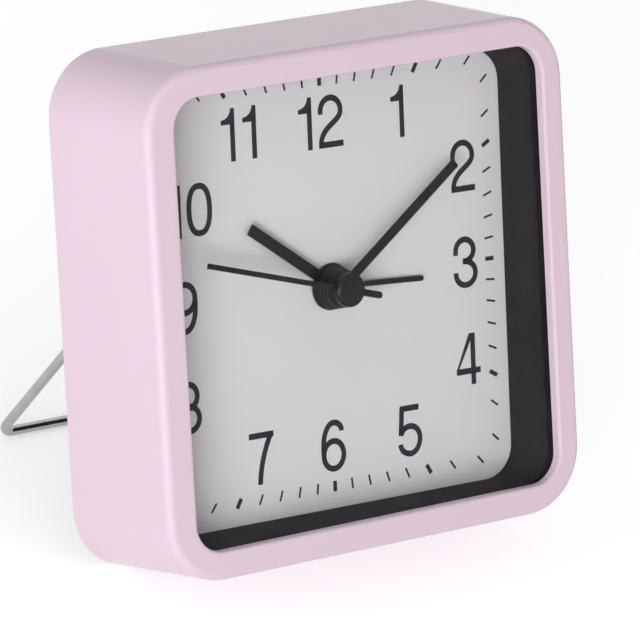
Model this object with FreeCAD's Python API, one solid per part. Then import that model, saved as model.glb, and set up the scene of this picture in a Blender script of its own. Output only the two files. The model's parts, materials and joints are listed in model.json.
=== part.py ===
import FreeCAD, Part
import math
import os

# A small square alarm clock that leans back on a folding wire stand.
#
# Every piece is drawn in the case's own frame: X to the right and Z up as one faces the dial, Y
# from the front plane of the case towards its back, with the origin in the middle of the front
# window. Lengths are millimetres and angles are degrees. The last section leans the whole clock
# back onto its rear lower edge and the foot of the wire, and puts the origin on the table under
# the middle of the clock.

Vector = FreeCAD.Vector

# Case shell: a drafted square tube with a narrow front rim
case_rear_half = 40.0
case_front_half = 39.1
case_depth = 25.0
case_corner_radius = 10.0
case_front_round = 2.3
case_front_steps = 4
case_wall = 1.6
rim_thickness = 1.8
rim_width = 4.65
window_corner_radius = 4.6
window_lip_chamfer = 0.3

# Fits used all over the clock
sliding_gap = 0.15
running_gap = 0.05
loose_gap = 0.3
cut_overrun = 1.0

# Lens and the deep black frame behind it
lens_inset = 2.5
lens_corner_radius = 7.0
lens_thickness = 1.3
frame_opening_step = 0.3
frame_opening_radius = 5.2
frame_wall = 1.2
frame_flange_thickness = 1.2
frame_flange_inset = 1.8
frame_flange_radius = 7.6

# Dial
room_behind_dial_front = 14.7
dial_thickness = 1.0
dial_corner_radius = 7.6
dial_rise = 0.4
dial_hole_radius = 2.8
dial_boss_half = 1.8
dial_boss_height = 2.2
movement_ear_reach = 27.0

# Hands, from the dial to the lens: the gaps between the hubs, and each hub's and blade's size
alarm_hub_gap = 0.25
alarm_hub_radius = 3.65
alarm_hub_thickness = 0.55
hour_hub_radius = 3.35
minute_hub_radius = 3.0
second_hub_radius = 2.65
stepped_hub_count = 3
stepped_hub_gap = 0.3
second_hub_gap = 0.35
lens_hub_gap = 1.4
hub_edge_chamfer = 0.2
hand_thickness = 0.4
alarm_hand_length = 17.6
alarm_hand_width = 0.85
hour_hand_length = 19.0
hour_hand_width = 1.8
minute_hand_length = 28.3
minute_hand_width = 1.5
second_hand_length = 26.9
second_hand_width = 0.66
second_tail_length = 6.6
second_tail_width = 1.1

# Where the hands point, clockwise from the top
alarm_hand_turn = 94.0
hour_hand_turn = 306.0
minute_hand_turn = 55.6
second_hand_turn = 286.1

# Coaxial tubes at the middle of the dial
second_arbor_radius = 0.35
minute_tube_radius = 1.0
hour_tube_radius = 1.6
alarm_tube_radius = 2.3
clutch_tube_radius = 1.2

# Movement, a closed box on the back of the dial, and its plates: places behind are from the dial
movement_half_width = 24.0
movement_bottom = -16.5
movement_cell_gap = 0.9
movement_wall = 1.0
movement_corner_radius = 2.0
front_plate_thickness = 0.9
middle_plate_behind = 4.5
middle_plate_thickness = 0.7
middle_plate_left = -16.0
middle_plate_right = 12.6
middle_plate_bottom = -6.3
middle_plate_top_inset = 3.0
back_plate_behind = 9.7
back_plate_thickness = 0.8
pillar_half = 1.1
pillar_tip_half = 0.55
pillar_inset = 1.9
ear_thickness = 1.0
ear_half_height = 3.0
screw_shank_radius = 0.75
screw_head_radius = 1.5
screw_head_height = 0.9
screw_slot_width = 0.4
screw_slot_depth = 0.4
screw_depth = 1.7

# Wheels: tooth counts, modules and how far behind the dial each one lies
rotor_pinion_teeth = 8
fifth_wheel_teeth = 40
fifth_pinion_teeth = 10
seconds_wheel_teeth = 60
seconds_pinion_teeth = 8
third_wheel_teeth = 60
third_pinion_teeth = 8
centre_wheel_teeth = 64
cannon_teeth = 12
minute_wheel_teeth = 36
minute_pinion_teeth = 10
hour_wheel_teeth = 40
setting_pinion_teeth = 12
alarm_wheel_teeth = 42
alarm_pinion_teeth = 14
fast_module = 0.18
centre_module = 0.17
setting_module = 0.25
hour_module = 0.24
alarm_module = 0.28
addendum_share = 0.85
dedendum_share = 1.15
root_tooth_share = 0.62
tip_tooth_share = 0.24
wheel_thickness = 0.6
slow_wheel_thickness = 0.7
pinion_extra = 0.1
alarm_wheel_behind = 1.2
hour_wheel_behind = 2.3
minute_wheel_behind = 3.4
centre_wheel_behind = 5.5
third_wheel_behind = 6.7
seconds_wheel_behind = 7.7
fifth_wheel_behind = 8.6
train_arbor_radius = 0.3
pivot_depth = 0.5
minute_stud_radius = 0.5
setting_arbor_radius = 1.0

# Directions of the wheel axes round the centre, counter-clockwise from +X as one faces the dial
third_axis_turn = 90.0
fifth_axis_turn = 30.0
rotor_axis_turn = 20.0
time_knob_axis_turn = 210.0
alarm_knob_axis_turn = -30.0

# Stepping motor: magnet, stator plate, core, bobbin and winding
magnet_radius = 2.3
magnet_behind = 5.6
magnet_length = 2.0
stator_behind = 6.3
stator_thickness = 0.8
stator_gap = 0.4
stator_ring = 1.2
stator_leg_width = 2.6
stator_rest_half = 0.8
stator_leg_left = 9.6
stator_bottom = -5.8
stator_top_inset = 4.7
core_centre = 17.0
core_width = 3.0
bobbin_wall = 0.4
bobbin_flange = 0.5
bobbin_end_inset = 4.0
winding_depth = 1.2

# Circuit board and what is on it
board_half_width = 21.0
board_bottom = -15.0
board_top = -7.4
board_behind = 5.5
board_thickness = 0.8
board_peg_half = 0.9
board_peg_inset = 1.6
chip_radius = 2.3
chip_height = 1.0
chip_edge_slope = 0.7
chip_offset = -8.0
crystal_radius = 1.0
crystal_length = 6.0
crystal_offset = 4.0

# Back cover: a plate set in the rear of the shell, with the battery housing moulded on
cover_thickness = 1.6
cover_edge_wall = 1.1
clamp_rib_half = 1.1
clamp_rib_inset = 1.15
bottom_clamp_offset = 18.0
hook_inset = 17.1
hook_width = 8.0
hook_length = 5.6
hook_thickness = 1.0
hook_nose = 0.45
hook_nose_length = 1.2
catch_length = 1.2
catch_depth = 0.5

# Cell and its compartment
cell_radius = 7.1
cell_length = 50.5
cell_nub_radius = 2.7
cell_nub_length = 1.2
cell_edge_chamfer = 0.6
cell_inset = 11.1
cell_front_gap = 0.2
compartment_dial_gap = 0.2
compartment_floor = 0.7
compartment_wall = 1.0
compartment_half_length = 28.4
compartment_half_height = 7.5
contact_thickness = 0.4
contact_half_width = 5.0
leaf_half_width = 2.5
leaf_reach = 4.4
leaf_nose = 0.9
strip_half_width = 0.8
strip_behind = 6.5
strip_board_lap = 1.5

# Raised housing round the battery door, and the door
housing_half_width = 31.5
housing_below_cell = 10.0
housing_above_cell = 9.6
housing_rise = 3.3
housing_corner_radius = 2.5
housing_edge_slope = 1.0
door_thickness = 1.1
door_ledge = 0.5
door_gap = 0.2
door_pin_radius = 0.45
door_pin_length = 0.8
door_latch_half_width = 4.0
door_latch_reach = 1.0
door_latch_thickness = 0.8
door_ridge_count = 4
door_ridge_pitch = 1.5
door_ridge_half_width = 6.0
door_ridge_width = 0.7
door_ridge_height = 0.35

# Knobs on the back
knob_radius = 5.2
knob_height = 3.6
knob_cap_thickness = 1.0
knob_ridges = 24
knob_gap = 0.35

# Alarm buzzer and switch
buzzer_inset = 12.1
buzzer_radius = 9.0
buzzer_thickness = 0.3
buzzer_step = 0.8
buzzer_ring_edge = 0.2
sound_slot_count = 5
sound_slot_pitch = 2.4
sound_slot_width = 1.0
sound_field_radius = 6.8
switch_offset = 15.5
switch_height = -21.0
switch_travel = 4.0
switch_thumb_half_width = 1.3
switch_thumb_length = 3.0
switch_thumb_rise = 1.3
switch_flange_half_width = 2.4
switch_flange_length = 8.6
switch_flange_thickness = 0.8

# Leaf springs between the board, the buzzer and the switch, and behind the hour wheel
leaf_thickness = 0.3
buzzer_leaf_offset = 2.5
buzzer_leaf_half_width = 0.7
switch_leaf_half_width = 1.0
leaf_board_lap = 1.2
leaf_bend_below = 2.2
leaf_slant = 4.6
leaf_toe = 1.5
alarm_leaf_half_width = 0.7
alarm_leaf_inner = 2.6
alarm_leaf_outer = 9.0
alarm_leaf_pad = 2.4
cam_radius = 3.3
cam_half_width = 0.5
cam_height = 0.3

# Wire stand, drawn flat and then swung out from the back by its opening angle
wire_radius = 0.8
stand_bend_radius = 1.8
stand_open_angle = 44.6
stand_leg_length = 46.6
stand_foot_half = 27.5
stand_pivot_half = 18.9
stand_pivot_height = 8.9
stand_pivot_behind = 2.4
stand_end_inset = 5.8
lug_width = 4.0
lug_radius = 2.2
lug_side_gap = 0.1
stop_gap = 0.1
stop_width = 3.6
stop_start = -0.5
stop_end = 2.5
stop_depth = 2.6
stop_rise = 4.2

# Sizes and places that follow from those above; insets are from the narrower end of the case
narrow_half = min(case_front_half, case_rear_half)
window_half = narrow_half - rim_width
lens_half = narrow_half - lens_inset
lens_front = rim_thickness
frame_front = lens_front + lens_thickness
frame_opening_half = window_half + frame_opening_step
frame_flange_half = narrow_half - frame_flange_inset
dial_half = frame_flange_half
dial_front = case_depth - room_behind_dial_front
dial_back = dial_front + dial_thickness
hand_room = dial_front - frame_front
hub_gaps = lens_hub_gap + second_hub_gap + (stepped_hub_count - 1) * stepped_hub_gap + alarm_hub_gap
hub_thickness = (hand_room - hub_gaps - alarm_hub_thickness) / stepped_hub_count
alarm_hub_front = dial_front - alarm_hub_gap - alarm_hub_thickness
hour_hub_front = alarm_hub_front - stepped_hub_gap - hub_thickness
minute_hub_front = hour_hub_front - stepped_hub_gap - hub_thickness
second_hub_front = minute_hub_front - second_hub_gap - hub_thickness
front_plate_back = dial_back + front_plate_thickness
alarm_wheel_front = dial_back + alarm_wheel_behind
hour_wheel_front = dial_back + hour_wheel_behind
minute_wheel_front = dial_back + minute_wheel_behind
middle_plate_front = dial_back + middle_plate_behind
centre_wheel_front = dial_back + centre_wheel_behind
third_wheel_front = dial_back + third_wheel_behind
seconds_wheel_front = dial_back + seconds_wheel_behind
fifth_wheel_front = dial_back + fifth_wheel_behind
back_plate_front = dial_back + back_plate_behind
magnet_front = dial_back + magnet_behind
stator_front = dial_back + stator_behind
board_front = dial_back + board_behind
strip_y = dial_back + strip_behind
compartment_front = dial_back + compartment_dial_gap
cover_front = case_depth - cover_thickness
clamp_rib_place = dial_half - clamp_rib_inset
hook_height = narrow_half - hook_inset
buzzer_centre = buzzer_inset - narrow_half
cell_height = narrow_half - cell_inset
housing_bottom = cell_height - housing_below_cell
housing_top = cell_height + housing_above_cell
movement_top = cell_height - compartment_half_height - compartment_wall - movement_cell_gap
middle_plate_top = movement_top - middle_plate_top_inset
stator_top = movement_top - stator_top_inset
bobbin_bottom = stator_bottom + bobbin_end_inset
bobbin_top = stator_top - bobbin_end_inset
cell_axis_y = compartment_front + compartment_floor + cell_front_gap + cell_radius
housing_back = case_depth + housing_rise
door_back = housing_back
door_front = door_back - door_thickness
door_hinge_y = door_back - door_thickness / 2
recess_bottom = cell_height - compartment_half_height - door_ledge
recess_top = cell_height + compartment_half_height + door_ledge
door_half_length = compartment_half_length + door_ledge
door_hinge_z = recess_bottom + door_gap + door_thickness / 2
stand_pivot_y = case_depth + stand_pivot_behind
knob_front = case_depth + knob_gap


def case_half_at(y):
    """Half-width of the case's outside at depth y: a straight draft from front to back."""
    return case_front_half + (case_rear_half - case_front_half) * y / case_depth


def pinion_front(wheel_front):
    return wheel_front - pinion_extra


def pinion_back(wheel_front, thickness):
    return wheel_front + thickness + pinion_extra


def rounded_outline(x_low, x_high, z_low, z_high, radius, y):
    """Closed wire of a rectangle with round corners, in the plane at depth y."""
    quarter = math.sqrt(1 / 2)
    corners = (
        (x_high - radius, z_low + radius, 1, -1),
        (x_high - radius, z_high - radius, 1, 1),
        (x_low + radius, z_high - radius, -1, 1),
        (x_low + radius, z_low + radius, -1, -1),
    )
    arcs = []
    for index, (x, z, side_x, side_z) in enumerate(corners):
        on_side = Vector(x + side_x * radius, y, z)
        on_end = Vector(x, y, z + side_z * radius)
        middle = Vector(x + side_x * radius * quarter, y, z + side_z * radius * quarter)
        start, end = (on_end, on_side) if index % 2 == 0 else (on_side, on_end)
        arcs.append((start, middle, end))
    edges = []
    for index, (start, middle, end) in enumerate(arcs):
        edges.append(Part.Arc(start, middle, end).toShape())
        edges.append(Part.LineSegment(end, arcs[(index + 1) % len(arcs)][0]).toShape())
    return Part.Wire(edges)


def rounded_square(half, radius, y):
    return rounded_outline(-half, half, -half, half, radius, y)


def rounded_slab(x_low, x_high, z_low, z_high, radius, y_low, y_high):
    outline = rounded_outline(x_low, x_high, z_low, z_high, radius, y_low)
    return Part.Face(outline).extrude(Vector(0, y_high - y_low, 0))


def square_slab(half, radius, y_low, y_high):
    return rounded_slab(-half, half, -half, half, radius, y_low, y_high)


def block(x_low, x_high, y_low, y_high, z_low, z_high):
    size = (x_high - x_low, y_high - y_low, z_high - z_low)
    return Part.makeBox(*size, Vector(x_low, y_low, z_low))


def disc(radius, y_low, y_high, x=0, z=0):
    """Cylinder along Y."""
    return Part.makeCylinder(radius, y_high - y_low, Vector(x, y_low, z), Vector(0, 1, 0))


def square_post(half, y_low, y_high, x, z):
    """Square pillar along Y."""
    return block(x - half, x + half, y_low, y_high, z - half, z + half)


def rod_along_x(radius, x_low, x_high, y, z):
    return Part.makeCylinder(radius, x_high - x_low, Vector(x_low, y, z), Vector(1, 0, 0))


def prism_along_x(points, x_low, x_high):
    """Extrudes a closed outline of (y, z) points from x_low to x_high."""
    ring = [Vector(x_low, y, z) for y, z in points]
    face = Part.Face(Part.makePolygon(ring + ring[:1]))
    return face.extrude(Vector(x_high - x_low, 0, 0))


def prism_along_y(points, y_low, y_high):
    """Extrudes a closed outline of (x, z) points from y_low to y_high."""
    ring = [Vector(x, y_low, z) for x, z in points]
    face = Part.Face(Part.makePolygon(ring + ring[:1]))
    return face.extrude(Vector(0, y_high - y_low, 0))


def join(shapes):
    """One clean solid out of pieces that share faces or overlap."""
    return shapes[0].fuse(shapes[1:]).removeSplitter()


def with_true_planes(solid):
    """The same solid, with each flat four-cornered face of a loft made a true plane."""
    faces = []
    for face in solid.Faces:
        corners = [vertex.Point for vertex in face.OuterWire.OrderedVertexes]
        if len(corners) == 4 and face.findPlane():
            face = Part.Face(Part.makePolygon(corners + corners[:1]))
        faces.append(face)
    shape = Part.makeCompound(faces)
    shape.sewShape()
    plain = Part.Solid(shape.Shells[0])
    if plain.Volume < 0:
        plain.reverse()
    return plain


def edges_in_plane(shape, y):
    """Edges whose ends and middle all lie at depth y."""
    close = 1e-4
    found = []
    for edge in shape.Edges:
        middle = edge.valueAt((edge.FirstParameter + edge.LastParameter) / 2)
        ends = [vertex.Point for vertex in edge.Vertexes]
        if all(abs(point.y - y) < close for point in ends + [middle]):
            found.append(edge)
    return found


def axis_from(centre, distance, turn):
    """Point at a distance from a centre, turned counter-clockwise from +X in the dial's plane."""
    angle = math.radians(turn)
    return centre[0] + distance * math.cos(angle), centre[1] + distance * math.sin(angle)


def direction_of(centre, other):
    """Turn of the line from one axis to another, counter-clockwise from +X."""
    return math.degrees(math.atan2(other[1] - centre[1], other[0] - centre[0]))


def pitch_radius(teeth, module):
    return teeth * module / 2


def mesh_distance(teeth_a, teeth_b, module):
    return pitch_radius(teeth_a, module) + pitch_radius(teeth_b, module)


# Axes of the wheels, in the dial's plane
centre_axis = (0, dial_rise)
third_distance = mesh_distance(seconds_pinion_teeth, third_wheel_teeth, fast_module)
third_axis = axis_from(centre_axis, third_distance, third_axis_turn)
fifth_distance = mesh_distance(fifth_pinion_teeth, seconds_wheel_teeth, fast_module)
fifth_axis = axis_from(centre_axis, fifth_distance, fifth_axis_turn)
rotor_distance = mesh_distance(rotor_pinion_teeth, fifth_wheel_teeth, fast_module)
rotor_axis = axis_from(fifth_axis, rotor_distance, rotor_axis_turn)
alarm_distance = mesh_distance(alarm_wheel_teeth, alarm_pinion_teeth, alarm_module)
alarm_knob_axis = axis_from(centre_axis, alarm_distance, alarm_knob_axis_turn)
minute_distance = mesh_distance(cannon_teeth, minute_wheel_teeth, setting_module)
time_knob_axis = axis_from(centre_axis, alarm_distance, time_knob_axis_turn)
minute_bend = math.degrees(math.acos(alarm_distance / 2 / minute_distance))
minute_axis = axis_from(centre_axis, minute_distance, time_knob_axis_turn - minute_bend)


def gear(teeth, module, y_low, y_high, axis, tooth_turn):
    """Spur gear with straight-sided teeth; one tooth points along tooth_turn."""
    middle = pitch_radius(teeth, module)
    tip = middle + addendum_share * module
    root = middle - dedendum_share * module
    pitch_angle = 2 * math.pi / teeth
    start = math.radians(tooth_turn)
    points = []
    for index in range(teeth):
        tooth = start + index * pitch_angle
        steps = (
            (root, -root_tooth_share),
            (tip, -tip_tooth_share),
            (tip, tip_tooth_share),
            (root, root_tooth_share),
        )
        for radius, share in steps:
            angle = tooth + share * pitch_angle / 2
            points.append((axis[0] + radius * math.cos(angle), axis[1] + radius * math.sin(angle)))
    return prism_along_y(points, y_low, y_high)


def gap_turn(teeth, towards):
    """Turn of a first tooth that leaves a tooth space pointing along the direction towards."""
    return towards + 180 / teeth


def front_edge_ring(step):
    """Outline of the case at one step of the quarter circle that rounds its front edge."""
    turn = math.pi / 2 * step / case_front_steps
    inset = case_front_round * (1 - math.sin(turn))
    half = case_half_at(case_front_round) - inset
    return rounded_square(half, case_corner_radius - inset, case_front_round * (1 - math.cos(turn)))


def make_case_shell():
    rings = [front_edge_ring(step) for step in range(case_front_steps + 1)]
    rings.append(rounded_square(case_rear_half, case_corner_radius, case_depth))
    outer = with_true_planes(Part.makeLoft(rings, True, True))
    inner_radius = case_corner_radius - case_wall
    cavity_rings = [
        rounded_square(case_half_at(y) - case_wall, inner_radius, y) for y in (rim_thickness, cover_front)
    ]
    cavity = with_true_planes(Part.makeLoft(cavity_rings, True, True))
    cover_half = case_rear_half - cover_edge_wall
    cover_radius = case_corner_radius - cover_edge_wall
    cover_seat = square_slab(cover_half, cover_radius, cover_front, case_depth + cut_overrun)
    window = square_slab(window_half, window_corner_radius, -cut_overrun, rim_thickness + cut_overrun)
    shell = outer.cut([cavity, cover_seat, window])
    lip = [edge for edge in edges_in_plane(shell, 0) if edge.BoundBox.XMax < window_half + cut_overrun]
    lip = [edge for edge in lip if edge.BoundBox.XMin > -window_half - cut_overrun]
    lip = [edge for edge in lip if abs(edge.CenterOfMass.z) < window_half + loose_gap]
    shell = shell.makeChamfer(window_lip_chamfer, lip)
    return join([shell] + make_catches())


def make_catches():
    """Four ledges inside the side walls that the back cover's hooks snap behind."""
    catches = []
    hook_tip = cover_front - hook_length
    catch_front = hook_tip + hook_nose_length + sliding_gap
    for side in (-1, 1):
        for height in (-hook_height, hook_height):
            wall = case_half_at(catch_front) - case_wall
            ends = sorted((side * (wall - catch_depth), side * (wall + case_wall / 2)))
            low = height - hook_width / 2 - loose_gap
            high = height + hook_width / 2 + loose_gap
            catches.append(block(*ends, catch_front, catch_front + catch_length, low, high))
    return catches


def make_lens():
    return square_slab(lens_half, lens_corner_radius, lens_front, frame_front)


def make_inner_frame():
    """A deep square funnel: a thin tube with a flange at the lens and one at the dial."""
    wall_half = frame_opening_half + frame_wall
    wall_radius = frame_opening_radius + frame_wall
    front = square_slab(
        frame_flange_half, frame_flange_radius, frame_front, frame_front + frame_flange_thickness
    )
    back = square_slab(
        frame_flange_half, frame_flange_radius, dial_front - frame_flange_thickness, dial_front
    )
    tube = square_slab(wall_half, wall_radius, frame_front, dial_front)
    opening = square_slab(
        frame_opening_half, frame_opening_radius, frame_front - cut_overrun, dial_front + cut_overrun
    )
    return join([tube, front, back]).cut(opening)


def ear_screw_places():
    return [(side * movement_ear_reach, dial_rise) for side in (-1, 1)]


def make_dial_plate():
    plate = square_slab(dial_half, dial_corner_radius, dial_front, dial_back)
    bosses = [
        square_post(dial_boss_half, dial_back, dial_back + dial_boss_height, x, z)
        for x, z in ear_screw_places()
    ]
    boss_top = dial_back + dial_boss_height
    bores = [
        disc(screw_shank_radius, boss_top - screw_depth - running_gap, boss_top + cut_overrun, x, z)
        for x, z in ear_screw_places()
    ]
    hole = disc(dial_hole_radius, dial_front - cut_overrun, dial_back + cut_overrun, *centre_axis)
    return join([plate] + bosses).cut(bores + [hole])


def blade(start, length, width, y_low, round_tip):
    """A flat hand along +Z from the centre, square at its tip or round."""
    base = block(-width / 2, width / 2, y_low, y_low + hand_thickness, start, length)
    if not round_tip:
        return base
    tip = disc(width / 2, y_low, y_low + hand_thickness, 0, length)
    return base.fuse(tip)


def turned_hand(pieces, bore_radius, y_low, y_high, turn):
    """Joins a hand's pieces, bores it for its tube and points it, clockwise from the top."""
    hand = join(pieces)
    hand = hand.cut(disc(bore_radius, y_low, y_high))
    hand.rotate(Vector(0, 0, 0), Vector(0, 1, 0), turn)
    hand.translate(Vector(centre_axis[0], 0, centre_axis[1]))
    return hand


def hub(radius, front, thickness):
    """A flat collar with a small chamfer on its front edge."""
    body = disc(radius, front, front + thickness)
    return body.makeChamfer(hub_edge_chamfer, edges_in_plane(body, front))


def make_alarm_hand():
    collar = hub(alarm_hub_radius, alarm_hub_front, alarm_hub_thickness)
    arm_length = alarm_hand_length - alarm_hand_width / 2
    arm_front = alarm_hub_front + alarm_hub_thickness - hand_thickness
    arm = blade(0, arm_length, alarm_hand_width, arm_front, True)
    ends = (alarm_hub_front - cut_overrun, alarm_hub_front + alarm_hub_thickness + cut_overrun)
    return turned_hand([collar, arm], alarm_tube_radius, *ends, alarm_hand_turn)


def make_hour_hand():
    collar = hub(hour_hub_radius, hour_hub_front, hub_thickness)
    arm_front = hour_hub_front + hub_thickness / 2 - hand_thickness / 2
    arm = blade(0, hour_hand_length, hour_hand_width, arm_front, False)
    ends = (hour_hub_front - cut_overrun, hour_hub_front + hub_thickness + cut_overrun)
    return turned_hand([collar, arm], hour_tube_radius, *ends, hour_hand_turn)


def make_minute_hand():
    collar = hub(minute_hub_radius, minute_hub_front, hub_thickness)
    arm_front = minute_hub_front + hub_thickness / 2 - hand_thickness / 2
    arm = blade(0, minute_hand_length, minute_hand_width, arm_front, False)
    ends = (minute_hub_front - cut_overrun, minute_hub_front + hub_thickness + cut_overrun)
    return turned_hand([collar, arm], minute_tube_radius, *ends, minute_hand_turn)


def make_second_hand():
    """The front hand: a domed cap, a thin arm and a short thick tail."""
    cap = hub(second_hub_radius, second_hub_front, hub_thickness)
    arm_front = second_hub_front + hub_thickness / 2 - hand_thickness / 2
    arm = blade(0, second_hand_length, second_hand_width, arm_front, False)
    tail = blade(0, second_tail_length - second_tail_width / 2, second_tail_width, arm_front, True)
    tail.rotate(Vector(0, 0, 0), Vector(0, 1, 0), 180)
    ends = (second_hub_front + hub_thickness / 2, second_hub_front + hub_thickness + cut_overrun)
    return turned_hand([cap, arm, tail], second_arbor_radius, *ends, second_hand_turn)


def cam_block(half, y_low, y_high):
    """Square block at the cam's radius, above the centre."""
    return square_post(half, y_low, y_high, centre_axis[0], centre_axis[1] + cam_radius)


def make_alarm_wheel():
    """Alarm wheel with its tube forward to the alarm hand, one tooth space at the knob's pinion."""
    turn = gap_turn(alarm_wheel_teeth, alarm_knob_axis_turn)
    back = alarm_wheel_front + slow_wheel_thickness
    wheel = gear(alarm_wheel_teeth, alarm_module, alarm_wheel_front, back, centre_axis, turn)
    tube = disc(alarm_tube_radius, alarm_hub_front, back, *centre_axis)
    bore_radius = hour_tube_radius + running_gap
    bore = disc(bore_radius, alarm_hub_front - cut_overrun, back + cut_overrun, *centre_axis)
    notch = cam_block(cam_half_width + running_gap, alarm_wheel_front - cut_overrun, back + cut_overrun)
    return join([wheel, tube]).cut([bore, notch])


def make_hour_wheel():
    turn = gap_turn(hour_wheel_teeth, direction_of(centre_axis, minute_axis))
    back = hour_wheel_front + slow_wheel_thickness
    wheel = gear(hour_wheel_teeth, hour_module, hour_wheel_front, back, centre_axis, turn)
    tube = disc(hour_tube_radius, hour_hub_front, back, *centre_axis)
    cam = cam_block(cam_half_width, hour_wheel_front - cam_height, hour_wheel_front)
    turned = cam.copy()
    middle = Vector(centre_axis[0], 0, centre_axis[1])
    turned.rotate(middle, Vector(0, 1, 0), hour_hand_turn - alarm_hand_turn)
    bore_radius = minute_tube_radius + running_gap
    bore = disc(bore_radius, hour_hub_front - cut_overrun, back + cut_overrun, *centre_axis)
    return join([wheel, tube, turned]).cut(bore)


def make_minute_wheel():
    """The wheel between minute and hour: it runs on a stud of the middle plate."""
    to_centre = direction_of(minute_axis, centre_axis)
    wheel_back = minute_wheel_front + slow_wheel_thickness
    wheel_turn = gap_turn(minute_wheel_teeth, to_centre)
    wheel = gear(
        minute_wheel_teeth, setting_module, minute_wheel_front, wheel_back, minute_axis, wheel_turn
    )
    pinion_low = pinion_front(hour_wheel_front)
    pinion_high = minute_wheel_front
    pinion = gear(minute_pinion_teeth, hour_module, pinion_low, pinion_high, minute_axis, to_centre)
    bore = disc(
        minute_stud_radius + running_gap,
        pinion_low - cut_overrun,
        wheel_back + cut_overrun,
        *minute_axis,
    )
    return join([wheel, pinion]).cut(bore)


def make_cannon_pinion():
    """Minute tube: a pinion with a long neck forward to the minute hand and a clutch neck back."""
    back = pinion_back(minute_wheel_front, slow_wheel_thickness)
    low = pinion_front(minute_wheel_front)
    to_minute = direction_of(centre_axis, minute_axis)
    pinion = gear(cannon_teeth, setting_module, low, back, centre_axis, to_minute)
    neck = disc(minute_tube_radius, minute_hub_front, back, *centre_axis)
    clutch_back = centre_wheel_front + wheel_thickness + pinion_extra
    clutch = disc(clutch_tube_radius, back, clutch_back, *centre_axis)
    bore = disc(
        second_arbor_radius + running_gap,
        minute_hub_front - cut_overrun,
        clutch_back + cut_overrun,
        *centre_axis,
    )
    return join([pinion, neck, clutch]).cut(bore)


def make_time_arbor():
    """Shaft of the time-setting knob, with the pinion that turns the minute wheel."""
    low = pinion_front(minute_wheel_front)
    high = pinion_back(minute_wheel_front, slow_wheel_thickness)
    to_minute = direction_of(time_knob_axis, minute_axis)
    follow = direction_of(minute_axis, time_knob_axis)
    turn = to_minute + meshing_offset(follow)
    pinion = gear(setting_pinion_teeth, setting_module, low, high, time_knob_axis, turn)
    return join([pinion, knob_shaft(time_knob_axis)])


def meshing_offset(follow):
    """How far the time pinion is turned so that its tooth enters a space of the minute wheel."""
    wheel_turn = gap_turn(minute_wheel_teeth, direction_of(minute_axis, centre_axis))
    pitch = 360 / minute_wheel_teeth
    past_gap = (follow - wheel_turn - pitch / 2) % pitch
    return past_gap * minute_wheel_teeth / setting_pinion_teeth


def knob_shaft(axis):
    """Shaft from the front plate, through the back cover, up into a knob."""
    front = front_plate_back - pivot_depth
    return disc(setting_arbor_radius, front, knob_front + knob_height - knob_cap_thickness, *axis)


def make_alarm_arbor():
    low = pinion_front(alarm_wheel_front)
    high = pinion_back(alarm_wheel_front, slow_wheel_thickness)
    to_centre = direction_of(alarm_knob_axis, centre_axis)
    pinion = gear(alarm_pinion_teeth, alarm_module, low, high, alarm_knob_axis, to_centre)
    return join([pinion, knob_shaft(alarm_knob_axis)])


def make_knob(axis):
    """Round ridged knob, pressed on its shaft."""
    ridge_module = 2 * knob_radius / (knob_ridges + 2 * addendum_share)
    grip = gear(knob_ridges, ridge_module, knob_front, knob_front + knob_height, axis, 0)
    bore_end = knob_front + knob_height - knob_cap_thickness
    bore = disc(setting_arbor_radius, knob_front - cut_overrun, bore_end, *axis)
    return grip.cut(bore)


def make_centre_wheel():
    """Driven by the third wheel's pinion; it carries the minute tube through a slip clutch."""
    back = centre_wheel_front + wheel_thickness
    turn = gap_turn(centre_wheel_teeth, third_axis_turn)
    wheel = gear(centre_wheel_teeth, centre_module, centre_wheel_front, back, centre_axis, turn)
    bore = disc(
        clutch_tube_radius + running_gap,
        centre_wheel_front - cut_overrun,
        back + cut_overrun,
        *centre_axis,
    )
    return wheel.cut(bore)


def train_arbor(axis):
    """Thin shaft from the middle plate to the back plate, with its ends in both."""
    front = middle_plate_front + middle_plate_thickness - pivot_depth
    return disc(train_arbor_radius, front, back_plate_front + pivot_depth, *axis)


def make_third_wheel():
    to_centre = third_axis_turn + 180
    low = pinion_front(centre_wheel_front)
    pinion = gear(third_pinion_teeth, centre_module, low, third_wheel_front, third_axis, to_centre)
    back = third_wheel_front + wheel_thickness
    turn = gap_turn(third_wheel_teeth, to_centre)
    wheel = gear(third_wheel_teeth, fast_module, third_wheel_front, back, third_axis, turn)
    return join([pinion, wheel, train_arbor(third_axis)])


def make_seconds_wheel():
    """Seconds wheel and pinion on the long arbor that carries the second hand."""
    low = pinion_front(third_wheel_front)
    high = seconds_wheel_front
    pinion = gear(seconds_pinion_teeth, fast_module, low, high, centre_axis, third_axis_turn)
    back = seconds_wheel_front + wheel_thickness
    turn = gap_turn(seconds_wheel_teeth, fifth_axis_turn)
    wheel = gear(seconds_wheel_teeth, fast_module, seconds_wheel_front, back, centre_axis, turn)
    front = second_hub_front + hub_thickness / 2
    arbor = disc(second_arbor_radius, front, back_plate_front + pivot_depth, *centre_axis)
    return join([pinion, wheel, arbor])


def make_fifth_wheel():
    low = pinion_front(seconds_wheel_front)
    high = fifth_wheel_front
    pinion = gear(fifth_pinion_teeth, fast_module, low, high, fifth_axis, fifth_axis_turn + 180)
    back = fifth_wheel_front + wheel_thickness
    turn = gap_turn(fifth_wheel_teeth, rotor_axis_turn)
    wheel = gear(fifth_wheel_teeth, fast_module, fifth_wheel_front, back, fifth_axis, turn)
    return join([pinion, wheel, train_arbor(fifth_axis)])


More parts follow.
